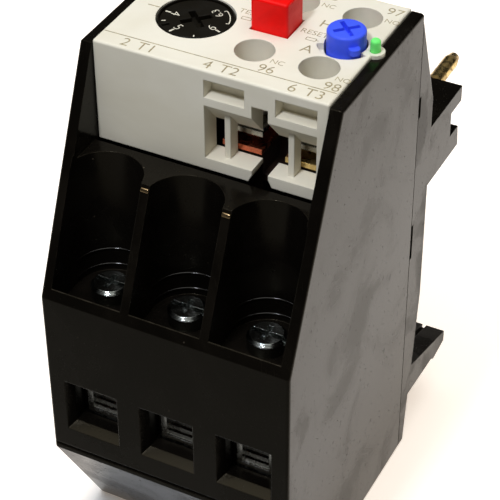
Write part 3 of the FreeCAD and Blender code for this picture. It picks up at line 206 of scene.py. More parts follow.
def add_node(tree, kind, inputs=None, **settings):
    """Add a node, set its options, and fill or link its inputs."""
    node = tree.nodes.new(kind)
    for name, value in settings.items():
        setattr(node, name, value)
    for key, value in (inputs or {}).items():
        if isinstance(value, bpy.types.NodeSocket):
            tree.links.new(value, node.inputs[key])
        else:
            node.inputs[key].default_value = value
    return node


def use_group(tree, name, inputs):
    """Place a node group in a tree, with its own values."""
    return add_node(tree, "ShaderNodeGroup", inputs, node_tree=bpy.data.node_groups[name])


def math_node(tree, operation, first, second=0.0, clamp=False):
    """One sum; returns its result."""
    return add_node(tree, "ShaderNodeMath", {0: first, 1: second},
                    operation=operation, use_clamp=clamp).outputs[0]


def span(tree, value, low, high, to_low=0.0, to_high=1.0):
    """Map a value from one range to another, clamped and smooth."""
    return add_node(tree, "ShaderNodeMapRange",
                    {"Value": value, "From Min": low, "From Max": high,
                     "To Min": to_low, "To Max": to_high},
                    interpolation_type="SMOOTHSTEP").outputs["Result"]


def blend_colours(tree, factor, first, second):
    return add_node(tree, "ShaderNodeMix",
                    {MIX_FACTOR: factor, MIX_FIRST: first, MIX_SECOND: second},
                    data_type="RGBA").outputs[MIX_RESULT]


def new_group(name, inputs, outputs):
    """Empty node group with named sockets; returns the tree and its two end nodes."""
    tree = bpy.data.node_groups.new(name, "ShaderNodeTree")
    for direction, sockets in (("INPUT", inputs), ("OUTPUT", outputs)):
        for label, kind, default in sockets:
            socket = tree.interface.new_socket(name=label, in_out=direction, socket_type=kind)
            if default is not None:
                socket.default_value = default
    return tree, tree.nodes.new("NodeGroupInput"), tree.nodes.new("NodeGroupOutput")


def build_mottle_group():
    """Cloudy handling haze: two scales of noise, and a fine moulded grain."""
    tree, start, end = new_group(
        "Handled surface",
        [("Vector", VECTOR, None), ("Cloud size", FLOAT, 0.02), ("Grain size", FLOAT, 0.0004)],
        [("Haze", FLOAT, None), ("Grain", FLOAT, None)])
    vector = start.outputs["Vector"]
    cloud = add_node(tree, "ShaderNodeTexNoise", {
        "Vector": vector, "Scale": math_node(tree, "DIVIDE", 1.0, start.outputs["Cloud size"]),
        "Detail": 5.0, "Roughness": 0.58, "Distortion": 0.6})
    fine = add_node(tree, "ShaderNodeTexNoise", {
        "Vector": vector, "Scale": math_node(tree, "DIVIDE", 1.0, start.outputs["Grain size"]),
        "Detail": 2.0, "Roughness": 0.5})
    tree.links.new(span(tree, cloud.outputs["Fac"], 0.36, 0.68), end.inputs["Haze"])
    tree.links.new(fine.outputs["Fac"], end.inputs["Grain"])


def build_speck_group():
    """Scattered dust specks of uneven size."""
    tree, start, end = new_group(
        "Dust specks", [("Vector", VECTOR, None), ("Spacing", FLOAT, 0.004),
                        ("Share", FLOAT, 0.3)], [("Mask", FLOAT, None)])
    cells = add_node(tree, "ShaderNodeTexVoronoi", {
        "Vector": start.outputs["Vector"],
        "Scale": math_node(tree, "DIVIDE", 1.0, start.outputs["Spacing"]), "Randomness": 1.0})
    chance = add_node(tree, "ShaderNodeSeparateColor", {"Color": cells.outputs["Color"]})
    dot = span(tree, cells.outputs["Distance"], 0.055, 0.02)
    kept = math_node(tree, "LESS_THAN", chance.outputs["Red"], start.outputs["Share"])
    tree.links.new(math_node(tree, "MULTIPLY", dot, kept), end.inputs["Mask"])


def build_scratch_group():
    """Hairline scratches in two crossing directions."""
    tree, start, end = new_group(
        "Hairlines", [("Vector", VECTOR, None), ("Length", FLOAT, 0.02),
                      ("Width", FLOAT, 0.0002)], [("Mask", FLOAT, None)])
    found = []
    for turn, offset in ((0.5, 0.0), (-0.9, 0.37)):
        along = math_node(tree, "DIVIDE", 1.0, start.outputs["Length"])
        across = math_node(tree, "DIVIDE", 1.0, start.outputs["Width"])
        stretch = add_node(tree, "ShaderNodeCombineXYZ", {"X": across, "Y": across, "Z": along})
        mapped = add_node(tree, "ShaderNodeMapping", {
            "Vector": start.outputs["Vector"], "Rotation": (turn, turn * 0.6, offset),
            "Location": (offset, offset, 0)})
        scaled = add_node(tree, "ShaderNodeVectorMath", {
            0: mapped.outputs["Vector"], 1: stretch.outputs["Vector"]}, operation="MULTIPLY")
        noise = add_node(tree, "ShaderNodeTexNoise", {
            "Vector": scaled.outputs["Vector"], "Scale": 0.35, "Detail": 1.0})
        found.append(span(tree, noise.outputs["Fac"], 0.70, 0.76))
    tree.links.new(math_node(tree, "MAXIMUM", *found), end.inputs["Mask"])


def build_turning_group():
    """Rings that a lathe leaves round an upright axis."""
    tree, start, end = new_group(
        "Turned rings", [("Vector", VECTOR, None), ("Pitch", FLOAT, 0.0002)],
        [("Height", FLOAT, None)])
    flat = add_node(tree, "ShaderNodeVectorMath", {
        0: start.outputs["Vector"], 1: (1, 1, 0)}, operation="MULTIPLY")
    radius = add_node(tree, "ShaderNodeVectorMath", {0: flat.outputs["Vector"]},
                      operation="LENGTH")
    turns = math_node(tree, "DIVIDE", radius.outputs["Value"], start.outputs["Pitch"])
    wave = math_node(tree, "SINE", math_node(tree, "MULTIPLY", turns, math.tau))
    noise = add_node(tree, "ShaderNodeTexNoise", {
        "Vector": start.outputs["Vector"], "Scale": 900.0, "Detail": 3.0})
    tree.links.new(math_node(tree, "ADD", math_node(tree, "MULTIPLY", wave, 0.35),
                             noise.outputs["Fac"]), end.inputs["Height"])


def build_edge_group():
    """Softened edges: the rounded normal, and a mask of the rubbed ridge."""
    tree, start, end = new_group(
        "Soft edges", [("Radius", FLOAT, 0.0003)],
        [("Normal", VECTOR, None), ("Rub", FLOAT, None)])
    bevel = add_node(tree, "ShaderNodeBevel", {"Radius": start.outputs["Radius"]}, samples=4)
    true = tree.nodes.new("ShaderNodeNewGeometry")
    same = add_node(tree, "ShaderNodeVectorMath", {
        0: bevel.outputs["Normal"], 1: true.outputs["True Normal"]}, operation="DOT_PRODUCT")
    noise = add_node(tree, "ShaderNodeTexNoise", {
        "Vector": tree.nodes.new("ShaderNodeTexCoord").outputs["Object"],
        "Scale": 420.0, "Detail": 3.0})
    ridge = span(tree, same.outputs["Value"], 0.97, 0.80)
    patchy = span(tree, noise.outputs["Fac"], 0.42, 0.62)
    tree.links.new(bevel.outputs["Normal"], end.inputs["Normal"])
    tree.links.new(math_node(tree, "MULTIPLY", ridge, patchy), end.inputs["Rub"])


# ---------------------------------------------------------------- material helpers
SPECK_SHARE, SPECK_STRENGTH = 0.25, 0.7    # how many cells hold a speck, and how it covers


def shaded(colour, share):
    """A colour made darker or lighter by a share."""
    return tuple(min(1, c * share) for c in colour[:3]) + (1,)


def new_material(name):
    """Empty node material; returns the material, its tree, shader and object coordinates."""
    material = bpy.data.materials.new(name)
    material.use_nodes = True
    tree = material.node_tree
    shader = tree.nodes["Principled BSDF"]
    place = tree.nodes.new("ShaderNodeTexCoord").outputs["Object"]
    return material, tree, shader, place


def set_bump(tree, shader, height, strength, distance, normal=None):
    inputs = {"Height": height, "Strength": strength, "Distance": distance}
    if normal is not None:
        inputs["Normal"] = normal
    bump = add_node(tree, "ShaderNodeBump", inputs)
    tree.links.new(bump.outputs["Normal"], shader.inputs["Normal"])


def moulded(name, colour, shade, gloss, dull, grain=0.03, cloud=0.022, dust=None,
            specular=0.5, sheen=(1, 1, 1, 1), edge=0.00028, rub=0.25):
    """Moulded plastic: cloudy colour and gloss, fine grain, dust specks and soft edges."""
    material, tree, shader, place = new_material(name)
    surface = use_group(tree, "Handled surface", {"Vector": place, "Cloud size": cloud})
    edges = use_group(tree, "Soft edges", {"Radius": edge})
    hair = use_group(tree, "Hairlines", {"Vector": place})
    haze = surface.outputs["Haze"]
    tint = blend_colours(tree, haze, colour, shade)
    tint = blend_colours(tree, math_node(tree, "MULTIPLY", edges.outputs["Rub"], rub),
                         tint, dust or shade)
    if dust:
        dots = use_group(tree, "Dust specks", {"Vector": place, "Share": SPECK_SHARE})
        tint = blend_colours(tree, math_node(tree, "MULTIPLY", dots.outputs["Mask"],
                                             SPECK_STRENGTH), tint, dust)
    tree.links.new(tint, shader.inputs["Base Color"])
    rough = span(tree, haze, 0.0, 1.0, gloss, dull)
    rough = math_node(tree, "ADD", rough,
                      math_node(tree, "MULTIPLY", hair.outputs["Mask"], 0.18), clamp=True)
    tree.links.new(rough, shader.inputs["Roughness"])
    shader.inputs["Specular IOR Level"].default_value = specular
    shader.inputs["Specular Tint"].default_value = sheen
    height = math_node(tree, "SUBTRACT", surface.outputs["Grain"],
                       math_node(tree, "MULTIPLY", hair.outputs["Mask"], 0.6))
    set_bump(tree, shader, height, grain, 0.0002, edges.outputs["Normal"])
    return material


def metal(name, colour, tarnish, rough, dull, spots=0.5, scratch=0.5, turned=None):
    """Bare metal: tarnish in clouds, hairlines, and a lathe's rings round the place turned."""
    material, tree, shader, place = new_material(name)
    surface = use_group(tree, "Handled surface", {
        "Vector": place, "Cloud size": 0.0022, "Grain size": 0.00012})
    hair = use_group(tree, "Hairlines", {"Vector": place, "Length": 0.006, "Width": 0.00008})
    edges = use_group(tree, "Soft edges", {"Radius": 0.00016})
    haze = surface.outputs["Haze"]
    tint = blend_colours(tree, math_node(tree, "MULTIPLY", haze, spots), colour, tarnish)
    tree.links.new(tint, shader.inputs["Base Color"])
    tree.links.new(span(tree, haze, 0.0, 1.0, rough, dull), shader.inputs["Roughness"])
    shader.inputs["Metallic"].default_value = 1.0
    height = math_node(tree, "ADD", surface.outputs["Grain"],
                       math_node(tree, "MULTIPLY", hair.outputs["Mask"], scratch))
    if turned:
        centred = add_node(tree, "ShaderNodeMapping", {
            "Vector": place, "Location": (-turned[0], -turned[1], 0.0)})
        rings = use_group(tree, "Turned rings", {"Vector": centred.outputs["Vector"]})
        height = math_node(tree, "ADD", height, rings.outputs["Height"])
    set_bump(tree, shader, height, 0.22, 0.00006, edges.outputs["Normal"])
    return material


def dress(nodes, material):
    """Give CAD nodes a material, with their shapes left as they are."""
    for name in nodes:
        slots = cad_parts[name].material_slots
        if not slots:
            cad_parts[name].data.materials.append(material)
        for place in slots:
            place.material = material


# ---------------------------------------------------------------- modelling helpers
CAPITAL = 0.73    # height of a capital letter in text of size 1
MARK_ROUND = 0.45    # rounding of a stroke's ends, as a share of its width


def middle_of(node):
    """Middle of a CAD node's box."""
    low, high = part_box(node)
    return (low + high) / 2


def clear_selection():
    bpy.ops.object.select_all(action="DESELECT")


def face_outwards():
    """Turn the faces of the active mesh outwards, and leave edit mode."""
    bpy.ops.object.mode_set(mode="EDIT")
    bpy.ops.mesh.select_all(action="SELECT")
    bpy.ops.mesh.normals_make_consistent(inside=False)
    bpy.ops.object.mode_set(mode="OBJECT")


def settle(piece, name, material):
    """Apply a new piece's place to its mesh, then name and dress it."""
    clear_selection()
    piece.select_set(True)
    bpy.context.view_layer.objects.active = piece
    bpy.ops.object.transform_apply(location=True, rotation=True, scale=True)
    piece.name = piece.data.name = name
    piece.data.materials.clear()
    piece.data.materials.append(material)
    return piece


def join(pieces):
    clear_selection()
    for piece in pieces:
        piece.select_set(True)
    bpy.context.view_layer.objects.active = pieces[0]
    bpy.ops.object.join()
    return pieces[0]


def lettering(words, size, place, turn, thickness, thin):
    """Flat letters as a mesh, centred on a place and turned about the upright axis.

    thin is how much their strokes are drawn in on each side.
    """
    clear_selection()
    bpy.ops.object.text_add(location=(0, 0, 0))
    text = bpy.context.object
    text.data.body = words
    text.data.size = size / CAPITAL
    text.data.align_x = "CENTER"
    text.data.align_y = "CENTER"
    text.data.offset = -thin
    text.data.extrude = thickness / 2
    text.data.resolution_u = 6
    bpy.ops.object.convert(target="MESH")
    text = bpy.context.object
    text.location = place
    text.rotation_euler = (0, 0, turn)
    bpy.ops.object.transform_apply(location=True, rotation=True, scale=True)
    return text


def stroke_bar(start, end, width, thickness):
    """Straight mark with rounded ends, from one point to another."""
    start, end = Vector(start), Vector(end)
    run = end - start
    clear_selection()
    bpy.ops.mesh.primitive_plane_add(size=1, location=(0, 0, 0))
    bar = bpy.context.object
    bar.scale = (run.length, width, 1)
    bpy.ops.object.transform_apply(scale=True)
    bpy.ops.object.mode_set(mode="EDIT")
    bpy.ops.mesh.select_all(action="SELECT")
    bpy.ops.mesh.bevel(offset=width * MARK_ROUND, segments=3, affect="VERTICES")
    bpy.ops.mesh.select_all(action="SELECT")
    bpy.ops.mesh.extrude_region_move(TRANSFORM_OT_translate={"value": (0, 0, -thickness)})
    bpy.ops.mesh.select_all(action="SELECT")
    bpy.ops.transform.translate(value=(0, 0, thickness / 2))
    bpy.ops.mesh.normals_make_consistent(inside=False)
    bpy.ops.object.mode_set(mode="OBJECT")
    bar.location = (start + end) / 2
    bar.rotation_euler = (0, 0, math.atan2(run.y, run.x))
    bpy.ops.object.transform_apply(location=True, rotation=True, scale=True)
    return bar


def polar(centre, radius, degrees, height):
    """Point on a level circle."""
    angle = math.radians(degrees)
    return Vector((centre[0] + radius * math.cos(angle), centre[1] + radius * math.sin(angle),
                   height))


# ---------------------------------------------------------------- finishes
class RELAY_OT_casing_finish(bpy.types.Operator):
    """Black casing, with haze, dust and rubbed edges"""
    bl_idname = "relay.casing_finish"
    bl_label = "Casing finish"

    def execute(self, context):
        look = context.scene.relay_plastics
        haze = shaded(look.casing, 1.9)
        gloss = look.casing_gloss
        dress(["front_housing"], moulded(
            "black housing", look.casing[:], haze, gloss, gloss + 0.16, grain=0.05,
            dust=look.casing_dust[:], edge=look.edge_round, specular=0.16,
            sheen=look.casing_sheen[:]))
        dress(["rear_cover"], moulded(
            "black rear cover", look.casing[:], haze, gloss + 0.05, gloss + 0.22, grain=0.08,
            dust=look.casing_dust[:], edge=look.edge_round, specular=0.16,
            sheen=look.casing_sheen[:], cloud=0.014))
        return {"FINISHED"}


class RELAY_OT_cover_finish(bpy.types.Operator):
    """Creamy top cover, darker in clouds and along its edges and inner corners"""
    bl_idname = "relay.cover_finish"
    bl_label = "Cover finish"

    def execute(self, context):
        look = context.scene.relay_plastics
        gloss = look.cover_gloss
        dress(["top_cover"], moulded(
            "cream cover", look.cover[:], look.cover_shade[:], gloss, gloss + 0.12, grain=0.04,
            cloud=0.045, edge=look.edge_round, rub=0.1, specular=0.4))
        return {"FINISHED"}


class RELAY_OT_control_finish(bpy.types.Operator):
    """Dial, test button, reset knob, plunger and indicator"""
    bl_idname = "relay.control_finish"
    bl_label = "Control finish"

    def execute(self, context):
        look = context.scene.relay_controls
        parts = (("red button", ["test_button"], look.test, 0.34),
                 ("blue knob", ["reset_knob", "reset_plunger"], look.reset, 0.36),
                 ("green flag", ["trip_indicator"], look.indicator, 0.32),
                 ("dark dial", ["setting_dial", "setting_cam"], look.dial, 0.40))
        for name, nodes, colour, gloss in parts:
            dress(nodes, moulded(name, colour[:], shaded(colour, 0.88), gloss, gloss + 0.14,
                                 grain=0.04, cloud=0.005, edge=0.0003, rub=0.12,
                                 specular=0.18))
        return {"FINISHED"}


class RELAY_OT_inner_finish(bpy.types.Operator):
    """Carrier, slides and levers of the release"""
    bl_idname = "relay.inner_finish"
    bl_label = "Inner finish"

    def execute(self, context):
        brown, pale = (0.022, 0.012, 0.008, 1), (0.62, 0.58, 0.48, 1)
        dress(["carrier_frame", "contact_carriage"], moulded(
            "brown phenolic", brown, shaded(brown, 0.6), 0.38, 0.55))
        dress(["trip_slide", "return_slide", "differential_lever", "trip_lever"], moulded(
            "pale nylon", pale, shaded(pale, 0.8), 0.40, 0.55))
        return {"FINISHED"}


class RELAY_OT_metal_finish(bpy.types.Operator):
    """Pins, clamps, screws, conductors, contacts and springs"""
    bl_idname = "relay.metal_finish"
    bl_label = "Metal finish"

    def execute(self, context):
        steel, steel_dull = (0.62, 0.62, 0.60, 1), (0.30, 0.29, 0.27, 1)
        dark_steel, dark_steel_dull = (0.30, 0.32, 0.31, 1), (0.10, 0.10, 0.09, 1)
        zinc = (0.74, 0.74, 0.70, 1)
        nickel, nickel_dull = (0.40, 0.39, 0.35, 1), (0.16, 0.15, 0.13, 1)
        brass, brass_dull = (0.78, 0.58, 0.24, 1), (0.25, 0.15, 0.05, 1)
        copper, copper_dull = (0.72, 0.30, 0.16, 1), (0.28, 0.10, 0.05, 1)
        red_copper = (0.66, 0.17, 0.09, 1)
        bimetal = (0.55, 0.50, 0.42, 1)
        alloy, alloy_dull = (0.42, 0.38, 0.33, 1), (0.16, 0.12, 0.10, 1)
        dress([f"contact_pin_{n}" for n in POLES],
              metal("tarnished brass", brass, brass_dull, 0.20, 0.48, spots=0.9))
        dress([f"busbar_{n}" for n in POLES] + [f"terminal_bar_{n}" for n in POLES],
              metal("rolled copper", copper, copper_dull, 0.28, 0.45))
        dress([f"bimetal_strip_{n}" for n in POLES] + ["compensation_strip"],
              metal("bimetal", bimetal, steel_dull, 0.34, 0.5))
        dress([f"heater_winding_{n}" for n in POLES],
              metal("heater alloy", alloy, alloy_dull, 0.36, 0.55))
        dress([f"clamp_cage_{n}" for n in POLES],
              metal("zinc plating", zinc, steel_dull, 0.18, 0.36, scratch=0.8))
        for n in POLES:
            dress([f"terminal_screw_{n}"], metal(
                f"turned steel {n}", dark_steel, dark_steel_dull, 0.12, 0.24, scratch=0.9,
                turned=middle_of(f"terminal_screw_{n}")[:2]))
        dress([f"aux_terminal_{n}" for n in CLOSING_NUMBERS] + ["closing_bridge"],
              metal("stamped brass", brass, brass_dull, 0.24, 0.42))
        dress([f"aux_terminal_{n}" for n in OPENING_NUMBERS] + ["opening_bridge"],
              metal("stamped copper", red_copper, copper_dull, 0.20, 0.40))
        dress([f"aux_saddle_{n}" for n in AUX_NUMBERS] + [f"aux_screw_{n}" for n in AUX_NUMBERS],
              metal("nickel plating", nickel, nickel_dull, 0.16, 0.32))
        dress(["compensation_pin", "trip_pin"],
              metal("spring steel", steel, steel_dull, 0.24, 0.4))
        return {"FINISHED"}


# ---------------------------------------------------------------- small fittings
def well_bead(centre, radius, thickness):
    """Half-round bead on the back of a well, half sunk in its wall, with closed ends."""
    clear_selection()
    bpy.ops.mesh.primitive_torus_add(location=centre, major_radius=radius,
                                     minor_radius=thickness, major_segments=96,
                                     minor_segments=14)
    bpy.ops.object.mode_set(mode="EDIT")
    bpy.ops.mesh.select_all(action="SELECT")
    bpy.ops.mesh.bisect(plane_co=centre, plane_no=(0, 1, 0), use_fill=True, clear_inner=True)
    bpy.ops.object.mode_set(mode="OBJECT")
    return bpy.context.object


class RELAY_OT_well_beads(bpy.types.Operator):
    """Two beads round the foot of each screw well"""
    bl_idname = "relay.well_beads"
    bl_label = "Well beads"

    def execute(self, context):
        look = context.scene.relay_plastics
        polished = moulded("polished black", look.casing[:], look.casing[:], 0.07, 0.11,
                           grain=0.01, edge=look.bead / 4)
        screws = [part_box(f"terminal_screw_{n}") for n in POLES]
        pitch = screws[1][0].x - screws[0][0].x
        radius = (pitch - PARTITION) / 2
        for n, (low, high) in zip(POLES, screws):
            middle = (low + high) / 2
            beads = [well_bead((middle.x, middle.y, high.z + rise), radius, look.bead)
                     for rise in BEAD_RISES]
            piece = settle(join(beads), f"well_bead_{n}", polished)
            bpy.ops.object.shade_smooth_by_angle(angle=math.radians(40))
            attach(piece, "casing")
        return {"FINISHED"}


class RELAY_OT_wall_rivets(bpy.types.Operator):
    """Brass rivet ends at the head of the walls between the wells"""
    bl_idname = "relay.wall_rivets"
    bl_label = "Wall rivets"

    def execute(self, context):
        brass = metal("dim brass", (0.42, 0.30, 0.16, 1), (0.16, 0.10, 0.05, 1), 0.22, 0.4)
        run = COVER_LOW.y - CASING_LOW.y
        climb = CASING_HIGH.z - SLOPE_FOOT
        drop = CASING_HIGH.z - COVER_LOW.z + RIVET_DROP
        y = COVER_LOW.y - drop * run / climb
        tilt = math.atan2(climb, run)
        middles = [middle_of(f"terminal_screw_{n}").x for n in POLES]
        for index, (left, right) in enumerate(zip(middles, middles[1:]), 1):
            clear_selection()
            bpy.ops.mesh.primitive_cube_add(size=1, location=(0, 0, 0))
            bar = bpy.context.object
            bar.scale = (PARTITION - RIVET_FIT, RIVET_DEPTH, RIVET_HEIGHT)
            bpy.ops.object.transform_apply(scale=True)
            bevel = bar.modifiers.new("rounded", "BEVEL")
            bevel.width, bevel.segments = RIVET_ROUND, 3
            bpy.ops.object.modifier_apply(modifier=bevel.name)
            bar.location = ((left + right) / 2, y, CASING_HIGH.z - drop)
            bar.rotation_euler = (tilt, 0, 0)
            piece = settle(bar, f"wall_rivet_{index}", brass)
            bpy.ops.object.shade_smooth_by_angle(angle=math.radians(40))
            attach(piece, "casing")
        return {"FINISHED"}


class RELAY_OT_springs(bpy.types.Operator):
    """Coil springs under the test button and the reset plunger"""
    bl_idname = "relay.springs"
    bl_label = "Springs"

    def execute(self, context):
        for name, joint in (("test_spring", "test_press"), ("reset_spring", "reset_press")):
            low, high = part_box(name)
            middle, height = (low + high) / 2, high.z - low.z
            clear_selection()
            bpy.ops.mesh.primitive_circle_add(
                vertices=12, radius=SPRING_WIRE, rotation=(math.pi / 2, 0, 0),
                location=((high.x - low.x) / 2 - SPRING_WIRE, 0, 0))
            coil = bpy.context.object
            bpy.ops.object.transform_apply(location=True, rotation=True)
            winding = coil.modifiers.new("winding", "SCREW")
            winding.iterations = SPRING_TURNS
            winding.screw_offset = (height - 2 * SPRING_WIRE) / SPRING_TURNS
            winding.steps = winding.render_steps = 32
            bpy.ops.object.modifier_apply(modifier=winding.name)
            bpy.ops.object.mode_set(mode="EDIT")
            bpy.ops.mesh.select_all(action="DESELECT")
            bpy.ops.mesh.select_non_manifold()
            bpy.ops.mesh.fill_holes(sides=0)
            bpy.ops.object.mode_set(mode="OBJECT")
            face_outwards()
            coil.location = (middle.x, middle.y, low.z + SPRING_WIRE)
            piece = settle(coil, f"{name}_coil", bpy.data.materials["spring steel"])
            bpy.ops.object.shade_smooth_by_angle(angle=math.radians(50))
            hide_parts(name)
            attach(piece, "casing")
            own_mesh(piece)
        return {"FINISHED"}


# ---------------------------------------------------------------- marks
def flat_finish(name, colour, shade, rough):
    """Worn paint or engraving: uneven colour and gloss."""
    material, tree, shader, place = new_material(name)
    surface = use_group(tree, "Handled surface", {"Vector": place, "Cloud size": 0.0009})
    tree.links.new(blend_colours(tree, surface.outputs["Haze"], colour, shade),
                   shader.inputs["Base Color"])
    tree.links.new(span(tree, surface.outputs["Haze"], 0, 1, rough, rough + 0.2),
                   shader.inputs["Roughness"])
    set_bump(tree, shader, surface.outputs["Grain"], 0.1, 0.00005)
    return material


# Places of the cover's marks, from the piece that each belongs to
LINE_END = 0.4 * MM                                # line's end inside the cover's side
INDEX_FAR, INDEX_NEAR = 3.1 * MM, 0.5 * MM         # ends of the index mark beside the dial
POLE_NUMBER_ASIDE, POLE_T_ASIDE = -1.1 * MM, 3.4 * MM
AUX_NUMBER_ASIDE, AUX_KIND_ASIDE = 4.8 * MM, 5.7 * MM
BACK_ROW = (4.5 * MM, 3.5 * MM)                    # rise to a number, step back to its kind
FRONT_ROW = (-4.9 * MM, -2.9 * MM)
SELECTOR_MARKS = (("A", -5.8 * MM, -5.1 * MM), ("H", -6.2 * MM, 4.4 * MM))
RESET_PLACE = (-6.9 * MM, 0.6 * MM)
TEST_PLACE = (-2.6 * MM, -2.0 * MM)
SIGN_PLACE = (0.3 * MM, -2.2 * MM)                 # a key's sign, from its word
SIGN_HALF, SIGN_RISE, SIGN_STEM = 1.0 * MM, 0.45 * MM, 0.6 * MM


def key_sign(centre, width, thickness):
    """Small outline of a key cap: four strokes and a stem."""
    x, y, z = centre
    half, rise = SIGN_HALF, SIGN_RISE
    corners = [(x - half, y - rise, z), (x + half, y - rise, z), (x + half, y + rise, z),
               (x - half, y + rise, z)]
    sides = list(zip(corners, corners[1:] + corners[:1]))
    sides.append(((x + half, y, z), (x + half + SIGN_STEM, y, z)))
    return [stroke_bar(start, end, width, thickness) for start, end in sides]


class RELAY_OT_cover_marks(bpy.types.Operator):
    """Engraved line, terminal numbers and contact letters on the top cover"""
    bl_idname = "relay.cover_marks"
    bl_label = "Cover marks"

    def execute(self, context):
        look = context.scene.relay_marks
        top, front = COVER_HIGH.z, COVER_LOW.y
        line_y = front + look.line_back
        side = -COVER_LOW.x - LINE_END
        thin = 0.010 * look.tall
        thin_small = thin * 0.7
        depth = look.thickness
        ink = flat_finish("engraved line", look.ink[:], shaded(look.ink, 1.7), 0.5)
        pieces = [stroke_bar((-side, line_y, top), (side, line_y, top), look.stroke, depth)]
        dial = (DIAL_LOW + DIAL_HIGH) / 2
        radius = (DIAL_HIGH.x - DIAL_LOW.x) / 2
        pieces.append(stroke_bar((dial.x - radius - INDEX_FAR, dial.y, top),
                                 (dial.x - radius - INDEX_NEAR, dial.y, top), look.stroke,
                                 depth))
        row_y = front + look.line_back * 0.5
        for n in POLES:
            x = middle_of(f"terminal_screw_{n}").x
            for words, aside in ((str(2 * n), POLE_NUMBER_ASIDE), (f"T{n}", POLE_T_ASIDE)):
                pieces.append(lettering(words, look.tall, (x + aside, row_y, top), 0, depth,
                                        thin))
        for number in AUX_NUMBERS:
            x, y, _ = middle_of(f"aux_screw_{number}")
            rise, step = BACK_ROW if y > dial.y else FRONT_ROW
            kind = "NC" if number in OPENING_NUMBERS else "NO"
            pieces.append(lettering(number, look.tall * 0.95,
                                    (x + AUX_NUMBER_ASIDE, y + rise, top), 0, depth, thin))
            pieces.append(lettering(kind, look.small,
                                    (x + AUX_KIND_ASIDE, y + rise - step, top), 0, depth,
                                    thin_small))
        knob = middle_of("reset_plunger")
        for words, aside, rise in SELECTOR_MARKS:
            pieces.append(lettering(words, look.tall, (knob.x + aside, knob.y + rise, top), 0,
                                    depth, thin_small))
        button_low, button_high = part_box("test_button")
        for words, x, y in (
                ("RESET", knob.x + RESET_PLACE[0], knob.y + RESET_PLACE[1]),
                ("TEST", button_low.x + TEST_PLACE[0], button_high.y + TEST_PLACE[1])):
            pieces.append(lettering(words, look.small * 1.1, (x, y, top), 0, depth, thin_small))
            pieces.extend(key_sign((x + SIGN_PLACE[0], y + SIGN_PLACE[1], top),
                                   look.stroke * 0.7, depth))
        marks = settle(join(pieces), "cover_engraving", ink)
        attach(marks, "casing")
        return {"FINISHED"}


# The dial's scale: angles in degrees, radii as shares of the dial's own
DIAL_SCALE = ((180, "4"), (211, ""), (248, "5"), (294, ""), (341, "6"))
TICK_OUTER, LONG_TICK_INNER, SHORT_TICK_INNER = 0.90, 0.73, 0.78
DIGIT_HEIGHT, DIGIT_RADIUS = 2.1 * MM, 0.6
LAST_NUMBER, LAST_HEIGHT, LAST_RADIUS, LAST_ANGLE = "6.3", 1.7 * MM, 0.62, 54
ARC_START, ARC_END, ARC_STEPS, ARC_LAP = 10, 52, 6, 1.08
ARC_RADIUS, ARC_TICK_INNER, ARC_TICKS = 0.88, 0.80, (10, 53)


class RELAY_OT_dial_marks(bpy.types.Operator):
    """White scale of the setting dial"""
    bl_idname = "relay.dial_marks"
    bl_label = "Dial marks"

    def execute(self, context):
        look = context.scene.relay_marks
        top = DIAL_HIGH.z
        centre = (DIAL_LOW + DIAL_HIGH) / 2
        radius = (DIAL_HIGH.x - DIAL_LOW.x) / 2
        depth = look.thickness
        paint = flat_finish("dial paint", look.paint[:], shaded(look.paint, 0.7), 0.5)

        def stroke(outer, outer_angle, inner, inner_angle, width):
            return stroke_bar(polar(centre, radius * outer, outer_angle, top),
                              polar(centre, radius * inner, inner_angle, top), width, depth)

        def number(words, height, share, degrees, thin):
            return lettering(words, height, polar(centre, radius * share, degrees, top),
                             math.radians(degrees + 90), depth, thin)

        pieces = []
        for degrees, words in DIAL_SCALE:
            inner, width = (LONG_TICK_INNER, 1.8) if words else (SHORT_TICK_INNER, 1.2)
            pieces.append(stroke(TICK_OUTER, degrees, inner, degrees, look.stroke * width))
            if words:
                pieces.append(number(words, DIGIT_HEIGHT, DIGIT_RADIUS, degrees, 0.03 * MM))
        pieces.append(number(LAST_NUMBER, LAST_HEIGHT, LAST_RADIUS, LAST_ANGLE, 0.02 * MM))
        for i in range(ARC_STEPS):
            here, there = (ARC_START + (ARC_END - ARC_START) * k / ARC_STEPS
                           for k in (i, i + ARC_LAP))
            pieces.append(stroke(ARC_RADIUS, here, ARC_RADIUS, there, look.stroke))
        for degrees in ARC_TICKS:
            pieces.append(stroke(ARC_RADIUS, degrees, ARC_TICK_INNER, degrees, look.stroke))
        marks = settle(join(pieces), "dial_scale", paint)
        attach(marks, "dial")
        return {"FINISHED"}


class RELAY_OT_dial_rim(bpy.types.Operator):
    """Dark lip that rises from the dial's edge to the cover's face"""
    bl_idname = "relay.dial_rim"
    bl_label = "Dial rim"

    def execute(self, context):
        centre = (DIAL_LOW + DIAL_HIGH) / 2
        radius = (DIAL_HIGH.x - DIAL_LOW.x) / 2
        height = COVER_HIGH.z - DIAL_HIGH.z - RIM_DROP
        clear_selection()
        bpy.ops.mesh.primitive_cylinder_add(
            vertices=128, radius=radius - RIM_FIT, depth=height + RIM_SUNK,
            end_fill_type="NOTHING",
            location=(centre.x, centre.y, DIAL_HIGH.z + (height - RIM_SUNK) / 2))
        rim = bpy.context.object
        wall = rim.modifiers.new("wall", "SOLIDIFY")
        wall.thickness, wall.offset = RIM_WALL, -1
        bpy.ops.object.modifier_apply(modifier=wall.name)
        face_outwards()
        rim = settle(rim, "dial_rim", bpy.data.materials["dark dial"])
        bpy.ops.object.shade_smooth_by_angle(angle=math.radians(40))
        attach(rim, "dial")
        return {"FINISHED"}


